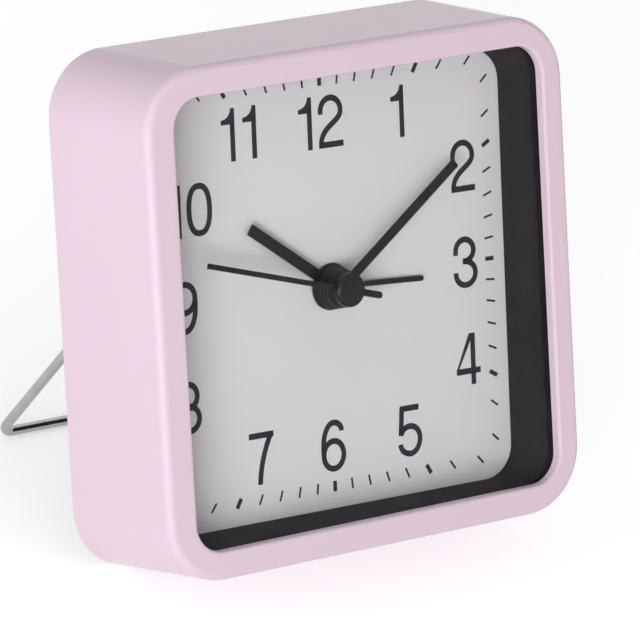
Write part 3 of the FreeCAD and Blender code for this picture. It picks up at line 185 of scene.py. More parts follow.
class DialSizes(bpy.types.PropertyGroup):
    print_height: length("Print height", "How far the print stands proud of the dial", 0.03)
    print_turn: angle("Print turn", "How far the print is turned clockwise", 1.0)
    shift_right: length("Print shift right", "How far the print lies right of the middle", -0.55)
    shift_up: length("Print shift up", "How far the print lies above the middle", 0.8)
    track: length("Minute track", "Half width of the square on which the minute marks lie", 31.55)
    mark_length: length("Mark", "Length of a minute mark", 1.7)
    mark_width: length("Mark width", "Width of a minute mark", 0.34)
    hour_mark_length: length("Hour mark", "Length of an hour mark", 1.65)
    hour_mark_width: length("Hour mark width", "Width of an hour mark", 0.68)
    digit_height: length("Digit height", "Height of a digit", 8.15)
    digit_width: length("Digit width", "Width of a digit", 4.7)
    stem: length("Stem", "Width of a digit's upright strokes", 0.9)
    bar: length("Bar", "Width of a digit's level strokes", 0.95)


class HandSizes(bpy.types.PropertyGroup):
    blade: length("Blade", "Thickness of a hand's blade", 0.4)
    edge: length("Edge", "Radius of a blade's edges", 0.07)
    collar: length("Collar", "Step at each hub's front edge", 0.3)
    cap: length("Cap", "Radius of the second hand's cap", 2.65)
    second_turn: angle("Second hand", "Clockwise angle of the second hand", 286.1)
    second_arm: length("Second arm", "Length of the second hand's arm", 26.9)
    second_width: length("Arm width", "Width of the second hand's arm", 0.86)
    second_tail: length("Second tail", "Length of the second hand's tail", 6.6)
    tail_width: length("Tail width", "Width of the second hand's tail", 1.1)


class StandSizes(bpy.types.PropertyGroup):
    wire: length("Wire", "Radius of the wire", 0.8)
    bend: length("Bend", "Radius of the bends at the wire's middle line", 1.8)
    leg: length("Leg", "Length from the pivot to the foot bar", 46.6)
    pivot_half: length("Pivot half", "Half distance between the legs at the pivot", 18.9)
    foot_half: length("Foot half", "Half distance between the legs at the foot", 29.5)
    inset: length("Pivot length", "Length of the wire's ends inside the lugs", 5.8)
    open_angle: angle("Open angle", "How far the stand stands out from the back", 44.6)


class KnobSizes(bpy.types.PropertyGroup):
    ridges: IntProperty(name="Ridges", description="Ridges round each knob", default=24, min=8)
    ridge_depth: length("Ridge depth", "Depth of the grooves between the ridges", 0.42)
    edge: length("Edge", "Radius of the knob's edges", 0.5)
    dish: length("Dish", "Depth of the dished face", 0.35)


class FinishColours(bpy.types.PropertyGroup):
    case: colour("Case", "Moulded case", 235, 211, 226)
    dial: colour("Dial", "Printed dial", 203, 200, 203)
    ink: colour("Ink", "Print on the dial", 44, 39, 45)
    hands: colour("Hands", "Lacquer of the hands", 20, 16, 20)
    inner_frame: colour("Inner frame", "Frame between lens and dial", 32, 30, 33)
    back: colour("Back", "Cover, door and knobs", 46, 45, 47)
    floor: colour("Floor", "Table top", 246, 246, 247)


class ClockSettings(bpy.types.PropertyGroup):
    case: PointerProperty(type=CaseSizes, name="Case", description="Sizes of the case")
    dial: PointerProperty(type=DialSizes, name="Dial", description="Sizes of the dial's print")
    hands: PointerProperty(type=HandSizes, name="Hands", description="Sizes of the hands")
    stand: PointerProperty(type=StandSizes, name="Stand", description="Sizes of the wire stand")
    knobs: PointerProperty(type=KnobSizes, name="Knobs", description="Sizes of the knobs")
    colours: PointerProperty(type=FinishColours, name="Colours", description="Colours of the finishes")


def settings():
    return bpy.context.scene.pendulette


# Surfaces as arrays. A part is its places in the clock's frame, its four-sided faces and its caps.


def unit(rows):
    """Each row of numbers made as long as 1."""
    return rows / np.linalg.norm(rows, axis=-1, keepdims=True)


def leftward(rows):
    """Directions in a plane turned a quarter turn counter-clockwise."""
    return np.stack((-rows[:, 1], rows[:, 0]), -1)


def full_turn(steps):
    return np.arange(steps) * (4 * QUARTER / steps)


def box_outline(left, right, low, high):
    return np.array([(left, low), (right, low), (right, high), (left, high)])


def sheet_faces(rows, columns, closed):
    """Four-sided faces of rings of places: place (i, j) joins its neighbours at i + 1 and j + 1."""
    i, j = np.meshgrid(np.arange(rows if closed else rows - 1), np.arange(columns), indexing="ij")
    i_next, j_next = (i + 1) % rows, (j + 1) % columns
    corners = (i * columns + j, i * columns + j_next, i_next * columns + j_next, i_next * columns + j)
    return np.stack(corners, -1).reshape(-1, 4)


def outward(places, faces, caps=()):
    """The part with its faces outwards: turned round where the sum of its tetrahedra is negative."""
    triangles = [faces[:, [0, 1, 2]], faces[:, [0, 2, 3]]]
    triangles += [np.stack((np.full(len(cap) - 2, cap[0]), cap[1:-1], cap[2:]), -1) for cap in caps]
    a, b, c = np.moveaxis(places[np.concatenate(triangles)] - places.mean(0), 1, 0)
    if np.einsum("ij,ij->", a, np.cross(b, c)) < 0:
        return places, faces[:, ::-1], [cap[::-1] for cap in caps]
    return places, faces, list(caps)


def lofted(rings, closed=False):
    """A part through one ring of places after the other, with a cap at each end unless closed."""
    rows, columns = rings.shape[:2]
    ring = np.arange(columns)
    caps = () if closed else (ring[::-1], ring + (rows - 1) * columns)
    return outward(rings.reshape(-1, 3), sheet_faces(rows, columns, closed), caps)


def together(parts):
    """Several parts as one: their faces count on from the places of the parts before."""
    starts = np.cumsum([0] + [len(part[0]) for part in parts[:-1]])
    places = np.concatenate([part[0] for part in parts])
    faces = np.concatenate([part[1] + start for part, start in zip(parts, starts)])
    caps = [cap + start for part, start in zip(parts, starts) for cap in part[2]]
    return places, faces, caps


def soft_corners(corners, rounds, steps=6, closed=True, measured=3):
    """A line through corners, each rounded by an arc of its own radius.

    The arc starts and ends at the radius times the tangent of half the turn before and after the
    corner, and is the rational quadratic curve of those three places whose middle weight is the
    cosine of half the turn, which is a true arc of a circle. Only the measured coordinates count
    as length: what follows them, such as a ring's own radius, changes evenly along.
    """
    corners = np.asarray(corners, float)
    if not closed:
        ends = corners[[0, -1]]
        before, middle, after = corners[:-2], corners[1:-1], corners[2:]
    else:
        before, middle, after = np.roll(corners, 1, 0), corners, np.roll(corners, -1, 0)
    coming = middle - before
    going = after - middle
    coming /= np.linalg.norm(coming[:, :measured], axis=1, keepdims=True)
    going /= np.linalg.norm(going[:, :measured], axis=1, keepdims=True)
    turn = np.arccos(np.clip((coming * going)[:, :measured].sum(1), -1, 1))
    reach = (np.broadcast_to(rounds, turn.shape) * np.tan(turn / 2))[:, None]
    share = np.linspace(0, 1, steps + 1)[None, :, None]
    start = (1 - share) ** 2
    centre = 2 * share * (1 - share) * np.cos(turn / 2)[:, None, None]
    end = share**2
    first = (middle - coming * reach)[:, None]
    last = (middle + going * reach)[:, None]
    arcs = (start * first + centre * middle[:, None] + end * last) / (start + centre + end)
    line = arcs.reshape(-1, corners.shape[1])
    return line if closed else np.concatenate((ends[:1], line, ends[1:]))


def clockwise(right, up, turn, shift):
    """Places turned clockwise about the middle and then shifted right and up."""
    cosine, sine = np.cos(turn), np.sin(turn)
    return right * cosine + up * sine + shift[0], up * cosine - right * sine + shift[1]


def swung(part, turn, shift):
    """A part turned clockwise about the middle of the front and then shifted right and up."""
    places, faces, caps = part
    right, up = clockwise(places[:, 0], places[:, 2], turn, shift)
    return np.stack((right, places[:, 1], up), -1), faces, caps


def square_band(profile, corner_steps, shift, turn=0.0):
    """A closed profile of half width, depth, corner radius and share round a rounded square.

    A corner's places are its centre, the half width less the radius along the diagonal, plus the
    radius at angles that sweep a quarter turn. Each ring is then turned clockwise and shifted
    right and up by its share of turn and shift.
    """
    halves, depths, radii, shares = profile.T[:, :, None]
    quarter = np.arange(4)[:, None] * QUARTER
    turns = (quarter + np.linspace(0, QUARTER, corner_steps + 1)).ravel()
    middles = np.repeat(quarter + QUARTER / 2, corner_steps + 1, 1).ravel()
    offset = (halves - radii) * math.sqrt(2)
    right = offset * np.cos(middles) + radii * np.cos(turns)
    up = offset * np.sin(middles) + radii * np.sin(turns)
    right, up = clockwise(right, up, turn * shares, (shift[0] * shares, shift[1] * shares))
    return lofted(np.stack((right, np.broadcast_to(depths, right.shape), up), -1), True)


def turned(profile, centre, steps, swell=1.0, closed=True):
    """A profile of radius and depth turned round an axis into the clock.

    A place's distance from the axis is its radius times its swell, which may differ round the
    axis. An open profile starts and ends on the axis, where one place closes the surface.
    """
    turn = full_turn(steps)
    rows = profile if closed else profile[1:-1]
    radius = rows[:, :1] * swell
    right, up = centre[0] + radius * np.cos(turn), centre[1] + radius * np.sin(turn)
    rings = np.stack((right, np.broadcast_to(rows[:, 1:], right.shape), up), -1)
    if closed:
        return lofted(rings, True)
    poles = [(centre[0], depth, centre[1]) for depth in profile[[0, -1], 1]]
    places = np.concatenate((rings.reshape(-1, 3), poles))
    first, last = np.arange(steps), np.arange(steps) + (len(rows) - 1) * steps
    start, end = np.full(steps, len(places) - 2), np.full(steps, len(places) - 1)
    fans = [
        *np.stack((np.roll(first, -1), first, start), -1),
        *np.stack((last, np.roll(last, -1), end), -1),
    ]
    return outward(places, sheet_faces(len(rows), steps, False), fans)


def tube(path, radius, across, around):
    """A round wire along a path that lies in one plane.

    Its ring at a place is the radius times the cosine of an angle along the plane's normal plus
    the sine along the path's own normal. Two smaller rings and a cap round each end.
    """
    along = unit(np.gradient(path, axis=0))
    side = unit(np.cross(along, across))
    ease = np.array((0.55, 0.9))
    lead = radius * (1 - np.sqrt(1 - ease**2))[:, None]
    first = path[0] - along[0] * (lead[-1] - lead)
    last = path[-1] + along[-1] * (lead[-1] - lead)
    path = np.concatenate((first, path[1:-1], last[::-1]))
    side = np.concatenate((side[[0, 0]], side[1:-1], side[[-1, -1]]))
    radii = np.full((len(path), 1, 1), radius)
    radii[[0, 1, -2, -1], 0, 0] *= ease[[0, 1, 1, 0]]
    turn = full_turn(around)[:, None]
    return lofted(path[:, None] + radii * (np.cos(turn) * across + np.sin(turn) * side[:, None]))


def drawn_in(outline, distance):
    """An outline moved inwards: each corner by the sum of its two edges' normals, made to measure."""
    normal = leftward(unit(np.roll(outline, -1, 0) - outline))
    other = np.roll(normal, 1, 0)
    share = 1 + (normal * other).sum(1, keepdims=True)
    return outline + distance * (normal + other) / share


def slab(outline, front, back, edge=0.0):
    """A flat piece between two depths whose outline runs counter-clockwise, its edges rounded off.

    The rings draw in at the faces by the edge's radius less its sine, over a quarter turn.
    """
    draws, depths = (0, 0), (front, back)
    if edge:
        turn = np.linspace(0, QUARTER, 4)
        draw = edge * (1 - np.sin(turn))
        rise = edge * (1 - np.cos(turn))
        draws = (*draw, *draw[::-1])
        depths = (*(front + rise), *(back - rise[::-1]))
    rings = [np.insert(drawn_in(outline, draw), 1, depth, axis=1) for draw, depth in zip(draws, depths)]
    return lofted(np.stack(rings))


def stroke(line, stem, bar, front, back, closed=False):
    """A flat band along a line: half its width to each side, along the line's normal.

    The width is that of a stem where the line runs up and of a bar where it runs level.
    """
    along = np.roll(line, -1, 0) - np.roll(line, 1, 0) if closed else np.gradient(line, axis=0)
    normal = leftward(unit(along))
    width = np.hypot(stem * normal[:, :1], bar * normal[:, 1:])
    left, right = line + normal * width / 2, line - normal * width / 2
    corners = ((left, front), (right, front), (right, back), (left, back))
    return lofted(np.stack([np.insert(edge, 1, depth, axis=1) for edge, depth in corners], 1), closed)


def add_piece(name, made, body, slot, replaced=(), finish=None):
    """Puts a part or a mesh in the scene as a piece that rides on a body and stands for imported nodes."""
    mesh = made
    if not isinstance(made, bpy.types.Mesh):
        places, faces, caps = made
        mesh = bpy.data.meshes.new(name)
        mesh.from_pydata(in_row(places).tolist(), [], faces.tolist() + [cap.tolist() for cap in caps])
        mesh.validate()
    mesh.shade_smooth()
    mesh.materials.clear()
    mesh.materials.append(finish_of(finish or slot))
    piece = bpy.data.objects.new(name, mesh)
    bpy.context.scene.collection.objects.link(piece)
    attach(piece, body)
    if replaced:
        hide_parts(*replaced)
    return piece


def even_normals(piece):
    """Smooth shading in which large faces stay flat and edges past 35 degrees stay sharp."""
    piece.data.set_sharp_from_angle(angle=math.radians(35))
    modifier = piece.modifiers.new("even normals", "WEIGHTED_NORMAL")
    modifier.keep_sharp = True
    modifier.weight = 80


def add_softened(node, name, body, slot, width):
    """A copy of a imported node's mesh: triangles joined, flat faces merged and edges bevelled."""
    same_place, flat, edge_turn = 0.002 * MM, math.radians(0.8), math.radians(32)
    mesh = frame["nodes"][node].data.copy()
    mesh.name = name
    work = bmesh.new()
    work.from_mesh(mesh)
    bmesh.ops.remove_doubles(work, verts=work.verts, dist=same_place)
    bmesh.ops.dissolve_limit(work, angle_limit=flat, verts=work.verts, edges=work.edges)
    work.to_mesh(mesh)
    work.free()
    piece = add_piece(name, mesh, body, slot, [node])
    modifier = piece.modifiers.new("edges", "BEVEL")
    modifier.width = width
    modifier.segments = 2
    modifier.limit_method = "ANGLE"
    modifier.angle_limit = edge_turn
    even_normals(piece)


def dress_node(node, slot):
    """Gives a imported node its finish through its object's material slots."""
    thing = frame["nodes"][node]
    if not thing.material_slots:
        thing.data.materials.append(finish_of(slot))
    for material_slot in thing.material_slots:
        material_slot.material = finish_of(slot)


# Finishes. Sizes and depths of patterns are millimetres.


def shade(base, factor):
    """The base colour made darker or lighter."""
    return tuple(min(1.0, channel * factor) for channel in tuple(base)[:3])


class Recipe:
    """Nodes of one finish: a shader fed from the piece's own object coordinates."""

    def __init__(self, name):
        self.material = bpy.data.materials.new(name)
        self.material.use_nodes = True
        self.tree = self.material.node_tree
        self.tree.nodes.clear()
        self.output = self.tree.nodes.new("ShaderNodeOutputMaterial")
        self.shader = self.tree.nodes.new("ShaderNodeBsdfPrincipled")
        self.link(self.shader.outputs[0], self.output.inputs["Surface"])
        self.place = self.tree.nodes.new("ShaderNodeTexCoord").outputs["Object"]

    def link(self, source, target):
        self.tree.links.new(source, target)

    def node(self, kind, **inputs):
        """A node whose named inputs take a value, or a link where a socket is given."""
        made = self.tree.nodes.new(kind)
        for name, value in inputs.items():
            socket = made.inputs[name.replace("_", " ").title()]
            if isinstance(value, bpy.types.NodeSocket):
                self.link(value, socket)
            else:
                socket.default_value = value
        return made

    def mapped(self, scale=(1, 1, 1), shift=(0, 0, 0)):
        """The piece's coordinates with each axis scaled by its own number, and shifted."""
        return self.node("ShaderNodeMapping", vector=self.place, scale=scale, location=shift).outputs[0]

    def clouds(self, size, detail=3, stretch=None):
        """Soft noise whose patches are about as wide as the size, less where an axis is scaled."""
        place = self.mapped(stretch) if stretch else self.place
        scale = 1 / (size * MM)
        return self.node("ShaderNodeTexNoise", vector=place, scale=scale, detail=detail).outputs[0]

    def ramp(self, share, *stops):
        """Colours along a share from 0 to 1."""
        ramp = self.tree.nodes.new("ShaderNodeValToRGB")
        self.link(share, ramp.inputs[0])
        elements = ramp.color_ramp.elements
        for _ in stops[2:]:
            elements.new(0.5)
        for element, (position, tone) in zip(elements, stops):
            element.position = position
            element.color = (*tone, 1)
        return ramp.outputs[0]

    def between(self, share, low, high, start=0.3, end=0.7):
        """A number that goes from low to high as the share goes from start to end."""
        ranged = self.tree.nodes.new("ShaderNodeMapRange")
        self.link(share, ranged.inputs[0])
        for index, value in enumerate((start, end, low, high), 1):
            ranged.inputs[index].default_value = value
        return ranged.outputs[0]

    def relief(self, height, depth, strength=0.5):
        """Bumps as deep as the given length."""
        return self.node("ShaderNodeBump", strength=strength, distance=depth * MM, height=height).outputs[0]

    def finish(self, tone, gloss=None, normal=None, **uniform):
        """The material, its shader fed from these sockets and set to these uniform values."""
        for name, socket in (("Base Color", tone), ("Roughness", gloss), ("Normal", normal)):
            if socket is not None:
                self.link(socket, self.shader.inputs[name])
        for name, value in uniform.items():
            self.shader.inputs[name.replace("_", " ")].default_value = value
        return self.material


def coat(name, base, tone, gloss, relief, **uniform):
    """A finish of three noises, each given by its size, detail and, on some, the scale of each axis.

    Tone holds its noise and stops of the noise's value and a share of the base colour. Gloss
    holds its noise and two roughnesses. Relief holds its noise, a depth and a strength.
    """
    recipe = Recipe(name)
    stops = [(value, shade(base, share)) for value, share in tone[1:]]
    colours = recipe.ramp(recipe.clouds(*tone[0]), *stops)
    roughness = recipe.between(recipe.clouds(*gloss[0]), *gloss[1:])
    normal = recipe.relief(recipe.clouds(*relief[0]), *relief[1:])
    return recipe.finish(colours, roughness, normal, **uniform)


def moulded(name, base, grain, depth, rough, mottle, **uniform):
    """Moulded plastic: faint cloudy flow marks, a fine spark-eroded grain and uneven gloss."""
    tone = ((14, 2), (0.3, 1 - mottle), (0.7, 1 + mottle))
    return coat(name, base, tone, ((5, 4), *rough), ((grain, 2), depth, 0.6), **uniform)


def metal(name, base, rough, stretch, scratch=0.15):
    """Bare metal: drawing or rolling lines along one axis, small stains and uneven gloss."""
    lines = (scratch, 4, stretch)
    return coat(name, base, (lines, (0.3, 0.94), (0.7, 1.06)), ((3, 5), *rough), (lines, 0.004), Metallic=1)


def make_lens_clear():
    """Clear pane that lets the lamps through, with the faintest haze of handling."""
    recipe = Recipe("clear pane")
    gloss = recipe.between(recipe.clouds(9, 5), 0.0, 0.02, 0.45, 0.8)
    white = (1, 1, 1)
    tone = recipe.ramp(recipe.clouds(20, 2), (0.3, shade(white, 0.985)), (0.7, shade(white, 0.995)))
    recipe.finish(tone, gloss, Transmission_Weight=1.0, IOR=1.12)
    path = recipe.node("ShaderNodeLightPath")
    clear = recipe.node("ShaderNodeBsdfTransparent")
    mix = recipe.node("ShaderNodeMixShader")
    sources = (path.outputs["Is Shadow Ray"], recipe.shader.outputs[0], clear.outputs[0])
    for source, target in zip(sources, mix.inputs):
        recipe.link(source, target)
    recipe.link(mix.outputs[0], recipe.output.inputs["Surface"])
    return recipe.material


def make_board_green():
    """Board under solder mask: a fine grid of tracks shows through as lighter lines."""
    recipe = Recipe("board mask")
    bricks = recipe.node(
        "ShaderNodeTexBrick",
        vector=recipe.place,
        scale=1 / (6 * MM),
        mortar_size=0.05,
        color1=(*screen(24, 74, 42), 1),
        color2=(*screen(28, 84, 46), 1),
        mortar=(*screen(56, 120, 70), 1),
    )
    normal = recipe.relief(bricks.outputs["Fac"], 0.02, 0.6)
    return recipe.finish(bricks.outputs["Color"], recipe.between(recipe.clouds(4), 0.25, 0.4), normal)


def make_winding(middle):
    """Layers of enamelled wire: close rings across the coil's length, with painted shade in the grooves between
    the turns and a painted highlight on their crests.
    """
    recipe = Recipe("enamelled wire")
    place = recipe.mapped(shift=tuple(-middle))
    wave = recipe.node("ShaderNodeTexWave", vector=place, scale=1 / (0.9 * MM), distortion=0.4)
    wave.bands_direction = "Z"
    # groove is painted shade between the turns, side is the wire's own copper, crest is a painted highlight on
    # each turn
    groove, side, crest_highlight = screen(92, 38, 18), screen(176, 92, 44), screen(212, 132, 78)
    tone = recipe.ramp(wave.outputs["Fac"], (0.1, groove), (0.5, side), (0.95, crest_highlight))
    normal = recipe.relief(wave.outputs["Fac"], 0.06, 0.9)
    return recipe.finish(tone, recipe.between(recipe.clouds(1.5), 0.2, 0.35), normal, Metallic=0.85)


def make_cell_jacket(low, high):
    """Shrink jacket of a plain cell: a silver body, a dark band at its plus end and bright rims."""
    recipe = Recipe("cell jacket")
    split = recipe.node("ShaderNodeSeparateXYZ", vector=recipe.place)
    along = recipe.between(split.outputs[0], 0.0, 1.0, low, high)
    bright, silver, dark = screen(200, 200, 198), screen(150, 153, 158), screen(40, 44, 52)
    bands = recipe.ramp(
        along, (0.0, bright), (0.02, silver), (0.68, silver), (0.69, dark), (0.955, dark), (0.965, bright)
    )
    wrap = recipe.clouds(3, 4)
    gloss = recipe.between(wrap, 0.22, 0.36)
    return recipe.finish(bands, gloss, recipe.relief(wrap, 0.02), Metallic=0.75)


def make_buzzer_face(middle):
    """Sounder disc: brass with a pale ceramic patch in its middle."""
    recipe = Recipe("sounder disc")
    offset = recipe.node("ShaderNodeVectorMath", vector=recipe.place)
    offset.operation = "DISTANCE"
    offset.inputs[1].default_value = tuple(middle)
    share = recipe.between(offset.outputs["Value"], 0.0, 1.0, 5.9 * MM, 6.1 * MM)
    tone = recipe.ramp(share, (0.4, screen(222, 218, 205)), (0.6, screen(196, 160, 84)))
    normal = recipe.relief(recipe.clouds(0.3, 4, (1, 8, 1)), 0.004)
    return recipe.finish(tone, recipe.between(recipe.clouds(2), 0.3, 0.42), normal, Metallic=0.8)


def make_finishes():
    """Every finish by the name of its material slot, and the ink of the dial's print."""
    colours = settings().colours
    nodes = ("coil_winding", "buzzer_disc", "battery_cell")
    coil, buzzer, cell = (np.array(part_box(node)) for node in nodes)
    return {
        "pink_case": moulded(
            "satin case", colours.case, 0.5, 0.004, (0.2, 0.22), 0.008, Specular_IOR_Level=0.16
        ),
        "clear_lens": make_lens_clear(),
        "black_frame": moulded(
            "black frame", colours.inner_frame, 0.4, 0.02, (0.6, 0.75), 0.1, Specular_IOR_Level=0.15
        ),
        "grey_dial": coat(
            "matt dial paint", colours.dial, ((25, 3), (0.3, 0.985), (0.7, 1.015)),
            ((6, 4), 0.55, 0.68), ((0.3, 2), 0.004), Specular_IOR_Level=0.35,
        ),
        "dial_ink": coat(
            "dial ink", colours.ink, ((0.12, 2), (0.25, 0.8), (0.75, 1.25)),
            ((2, 3), 0.45, 0.6), ((0.12, 2), 0.004), Specular_IOR_Level=0.1,
        ),
        "black_hands": moulded(
            "hand lacquer", colours.hands, 0.25, 0.004, (0.14, 0.18), 0.06, Specular_IOR_Level=0.2
        ),
        "white_gear": moulded(
            "acetal", screen(226, 224, 214), 0.3, 0.005, (0.35, 0.45), 0.02, Subsurface_Weight=0.05
        ),
        "magnet_grey": moulded(
            "sintered magnet", screen(70, 70, 74), 0.2, 0.02, (0.45, 0.6), 0.12, Metallic=0.6
        ),
        "motor_steel": metal("stamped steel", screen(172, 172, 175), (0.3, 0.42), (1, 9, 1)),
        "copper_winding": make_winding(coil.mean(0)),
        "movement_plastic": moulded("movement moulding", screen(40, 40, 43), 0.5, 0.02, (0.5, 0.62), 0.08),
        "screw_steel": metal("zinc plate", screen(190, 192, 196), (0.25, 0.4), (1, 1, 1), 0.4),
        "green_board": make_board_green(),
        "black_resin": moulded("cast resin", screen(18, 18, 19), 1.2, 0.03, (0.18, 0.3), 0.15),
        "black_cover": moulded("textured back", colours.back, 0.45, 0.035, (0.5, 0.64), 0.08),
        "buzzer_brass": make_buzzer_face(buzzer.mean(0)),
        "switch_white": moulded("switch button", screen(214, 212, 206), 0.4, 0.01, (0.4, 0.5), 0.02),
        "cell_jacket": make_cell_jacket(*cell[:, 0]),
        "contact_nickel": metal("nickel strip", screen(205, 202, 194), (0.2, 0.32), (1, 1, 8)),
        "stand_chrome": coat(
            "bright wire", screen(176, 176, 179), ((2.5, 5), (0.35, 0.93), (0.7, 1.05)),
            ((2.5, 5), 0.1, 0.18), ((0.08, 3, (6, 1, 1)), 0.002), Metallic=1,
        ),
    }


FINISHES = {}


def finish_of(slot):
    if not FINISHES:
        FINISHES.update(make_finishes())
    return FINISHES[slot]


# Case, lens and inner frame


def shell_profile(sizes):
    """Half width, depth, corner radius and share of the window's shift round the case's wall."""
    rear, depth = SHELL_HIGH[:2]

    def half_at(y):
        return rear - sizes.front_inset * (1 - y / depth)

    inner_corner = sizes.corner - sizes.wall
    seat = depth - sizes.cover_depth
    seat_half, seat_corner = rear - sizes.cover_edge, sizes.corner - sizes.cover_edge
    corners = [
        (rear, depth, sizes.corner, 0),
        (half_at(0), 0, sizes.corner, 0),
        (sizes.window, 0, sizes.window_corner, 1),
        (sizes.window, sizes.rim, sizes.window_corner, 1),
        (half_at(sizes.rim) - sizes.wall, sizes.rim, inner_corner, 0),
        (half_at(seat) - sizes.wall, seat, inner_corner, 0),
        (seat_half, seat, seat_corner, 0),
        (seat_half, depth, seat_corner, 0),
    ]
    rounds = np.full(len(corners), sizes.edge)
    rounds[:3] = 2.5 * sizes.edge, sizes.front_round, sizes.lip
    return soft_corners(corners, rounds, 12, measured=2)


def shell_band(sizes):
    """The case's wall, its corners kept in step with the front's round and its front made wider."""
    profile = shell_profile(sizes)
    half = SHELL_HIGH[0] - sizes.front_inset
    rounded = (profile[:, 1] < sizes.front_round) & (profile[:, 0] > half - sizes.front_round)
    profile[rounded, 2] = sizes.corner - (half - profile[rounded, 0])
    places, faces, caps = square_band(profile, 20, (sizes.window_right, sizes.window_up))
    front = np.clip(1 - places[:, 1] / SHELL_HIGH[1], 0, 1)
    places[:, 0] += front * sizes.front_wide * np.clip(places[:, 0] / half, -1, 1)
    return places, faces, caps


def catch_parts(sizes):
    """Four ledges inside the side walls behind which the cover's hooks snap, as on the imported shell."""
    inset = sizes.front_inset * (1 - sizes.catch_front / SHELL_HIGH[1])
    wall = SHELL_HIGH[0] - inset - sizes.wall
    back = sizes.catch_front + sizes.catch_length
    parts = []
    for side in (-1, 1):
        near, far = sorted((side * (wall - sizes.catch_depth), side * (wall + sizes.wall / 2)))
        for height in (-sizes.catch_height, sizes.catch_height):
            low, high = height - sizes.catch_half, height + sizes.catch_half
            parts.append(slab(box_outline(near, far, low, high), sizes.catch_front, back, sizes.edge))
    return parts


class PENDULETTE_OT_case_shell(bpy.types.Operator):
    """Smooth moulded case: one closed band from its rear edge round the front rim and back inside"""

    bl_idname = "pendulette.case_shell"
    bl_label = "Case shell"

    def execute(self, context):
        sizes = settings().case
        part = together([shell_band(sizes), *catch_parts(sizes)])
        even_normals(add_piece("case", part, "case", "pink_case", ["case_shell"]))
        return {"FINISHED"}


class PENDULETTE_OT_window(bpy.types.Operator):
    """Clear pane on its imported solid, and the deep black frame behind it as a closed band"""

    bl_idname = "pendulette.window"
    bl_label = "Lens and inner frame"

    def execute(self, context):
        sizes = settings().case
        dress_node("lens", "clear_lens")
        low, high = span("inner_frame")
        flange_front = high[1] - sizes.frame_wall
        lip_back = low[1] + sizes.frame_wall
        outer = sizes.opening + sizes.frame_wall
        outer_corner = sizes.opening_corner + sizes.frame_wall
        corners = [
            (sizes.opening, low[1], sizes.opening_corner, 0),
            (sizes.dial_opening, high[1], sizes.opening_corner, 1),
            (high[0], high[1], sizes.flange_corner, 0),
            (high[0], flange_front, sizes.flange_corner, 0),
            (outer, flange_front, outer_corner, 0),
            (outer, lip_back, outer_corner, 0),
            (high[0], lip_back, sizes.flange_corner, 0),
            (high[0], low[1], sizes.flange_corner, 0),
        ]
        profile = soft_corners(corners, 1.5 * sizes.edge, 4, measured=2)
        part = square_band(profile, 16, (sizes.opening_right, sizes.opening_up), sizes.opening_turn)
        even_normals(add_piece("dial_frame", part, "case", "black_frame", ["inner_frame"]))
        return {"FINISHED"}


# Dial print: lines of each digit as shares of the box of its middle lines, from its lower left


def arc(centre, radii, start, end, count=20, power=2.0):
    """Part of an ellipse: centre plus radii times the cosine and sine of its angle.

    A power above 2 squares the ellipse by raising cosine and sine to 2 over the power.
    """
    turn = np.radians(np.linspace(start, end, count))
    reach = np.stack((np.cos(turn), np.sin(turn)), -1)
    return centre + radii * np.sign(reach) * np.abs(reach) ** (2 / power)


def curve(*controls, count=24):
    """A curve from its control places, weighted by the terms of the binomial of share and rest."""
    share = np.linspace(0, 1, count)[:, None]
    order = len(controls) - 1
    terms = [
        math.comb(order, k) * share**k * (1 - share) ** (order - k) * np.array(control)
        for k, control in enumerate(controls)
    ]
    return np.sum(terms, 0)


def run(*lines):
    """Lines one after the other, without the places where one starts at the end of another."""
    line = np.concatenate([np.asarray(part, float) for part in lines])
    keep = np.append(True, np.linalg.norm(np.diff(line, axis=0), axis=1) > 1e-6)
    return line[keep]


def drawn(*lines):
    """An open line of a digit, marked as not closed."""
    return run(*lines), False


def ring(centre, radii, power=2.0):
    """A closed ellipse of a digit, marked as closed, without its last place, which is its first."""
    return arc(centre, radii, 0, 360, 57, power)[:-1], True


SIX = (
    drawn(
        arc((0.53, 0.80), (0.40, 0.20), 0, 90, 12),
        arc((0.53, 0.50), (0.53, 0.50), 90, 180),
        [(0, 0.30)],
    ),
    ring((0.5, 0.30), (0.5, 0.30)),
)
DIGITS = {
    "0": (ring((0.5, 0.5), (0.5, 0.5), 2.4),),
    "2": (
        drawn(
            [(0, 0.66)],
            arc((0.5, 0.72), (0.5, 0.28), 180, 0),
            curve((1, 0.71), (1, 0.45), (0, 0.42), (0, 0)),
        ),
        drawn([(-0.11, 0), (1.11, 0)]),
    ),
    "3": (
        drawn(
            [(0, 0.67)],
            arc((0.47, 0.75), (0.46, 0.25), 180, 0),
            arc((0.45, 0.76), (0.48, 0.24), 0, -90, 12),
            [(0.37, 0.52)],
        ),
        drawn(
            [(0.37, 0.52)],
            arc((0.45, 0.26), (0.55, 0.26), 90, 0, 12),
            arc((0.5, 0.26), (0.5, 0.26), 0, -90, 12),
            arc((0.5, 0.25), (0.5, 0.25), -90, -180, 12),
            [(0, 0.29)],
        ),
    ),
    "5": (
        drawn(
            curve((0.03, 0.42), (0.12, 0.55), (0.30, 0.60), (0.5, 0.60)),
            arc((0.5, 0.33), (0.5, 0.27), 90, 0, 12),
            arc((0.5, 0.33), (0.5, 0.33), 0, -90, 12),
            arc((0.5, 0.23), (0.5, 0.23), -90, -180, 12),
        ),
        drawn([(0.12, 1.04), (0.03, 0.42)]),
        drawn([(0.03, 1), (0.98, 1)]),
    ),
    "6": SIX,
    "7": (drawn([(-0.11, 1), (1.11, 1)]), drawn(curve((0.97, 1.0), (0.45, 0.5), (0.37, -0.06)))),
    "8": (ring((0.5, 0.745), (0.43, 0.255)), ring((0.5, 0.265), (0.5, 0.265))),
    "9": tuple((1 - line, closed) for line, closed in SIX),
}
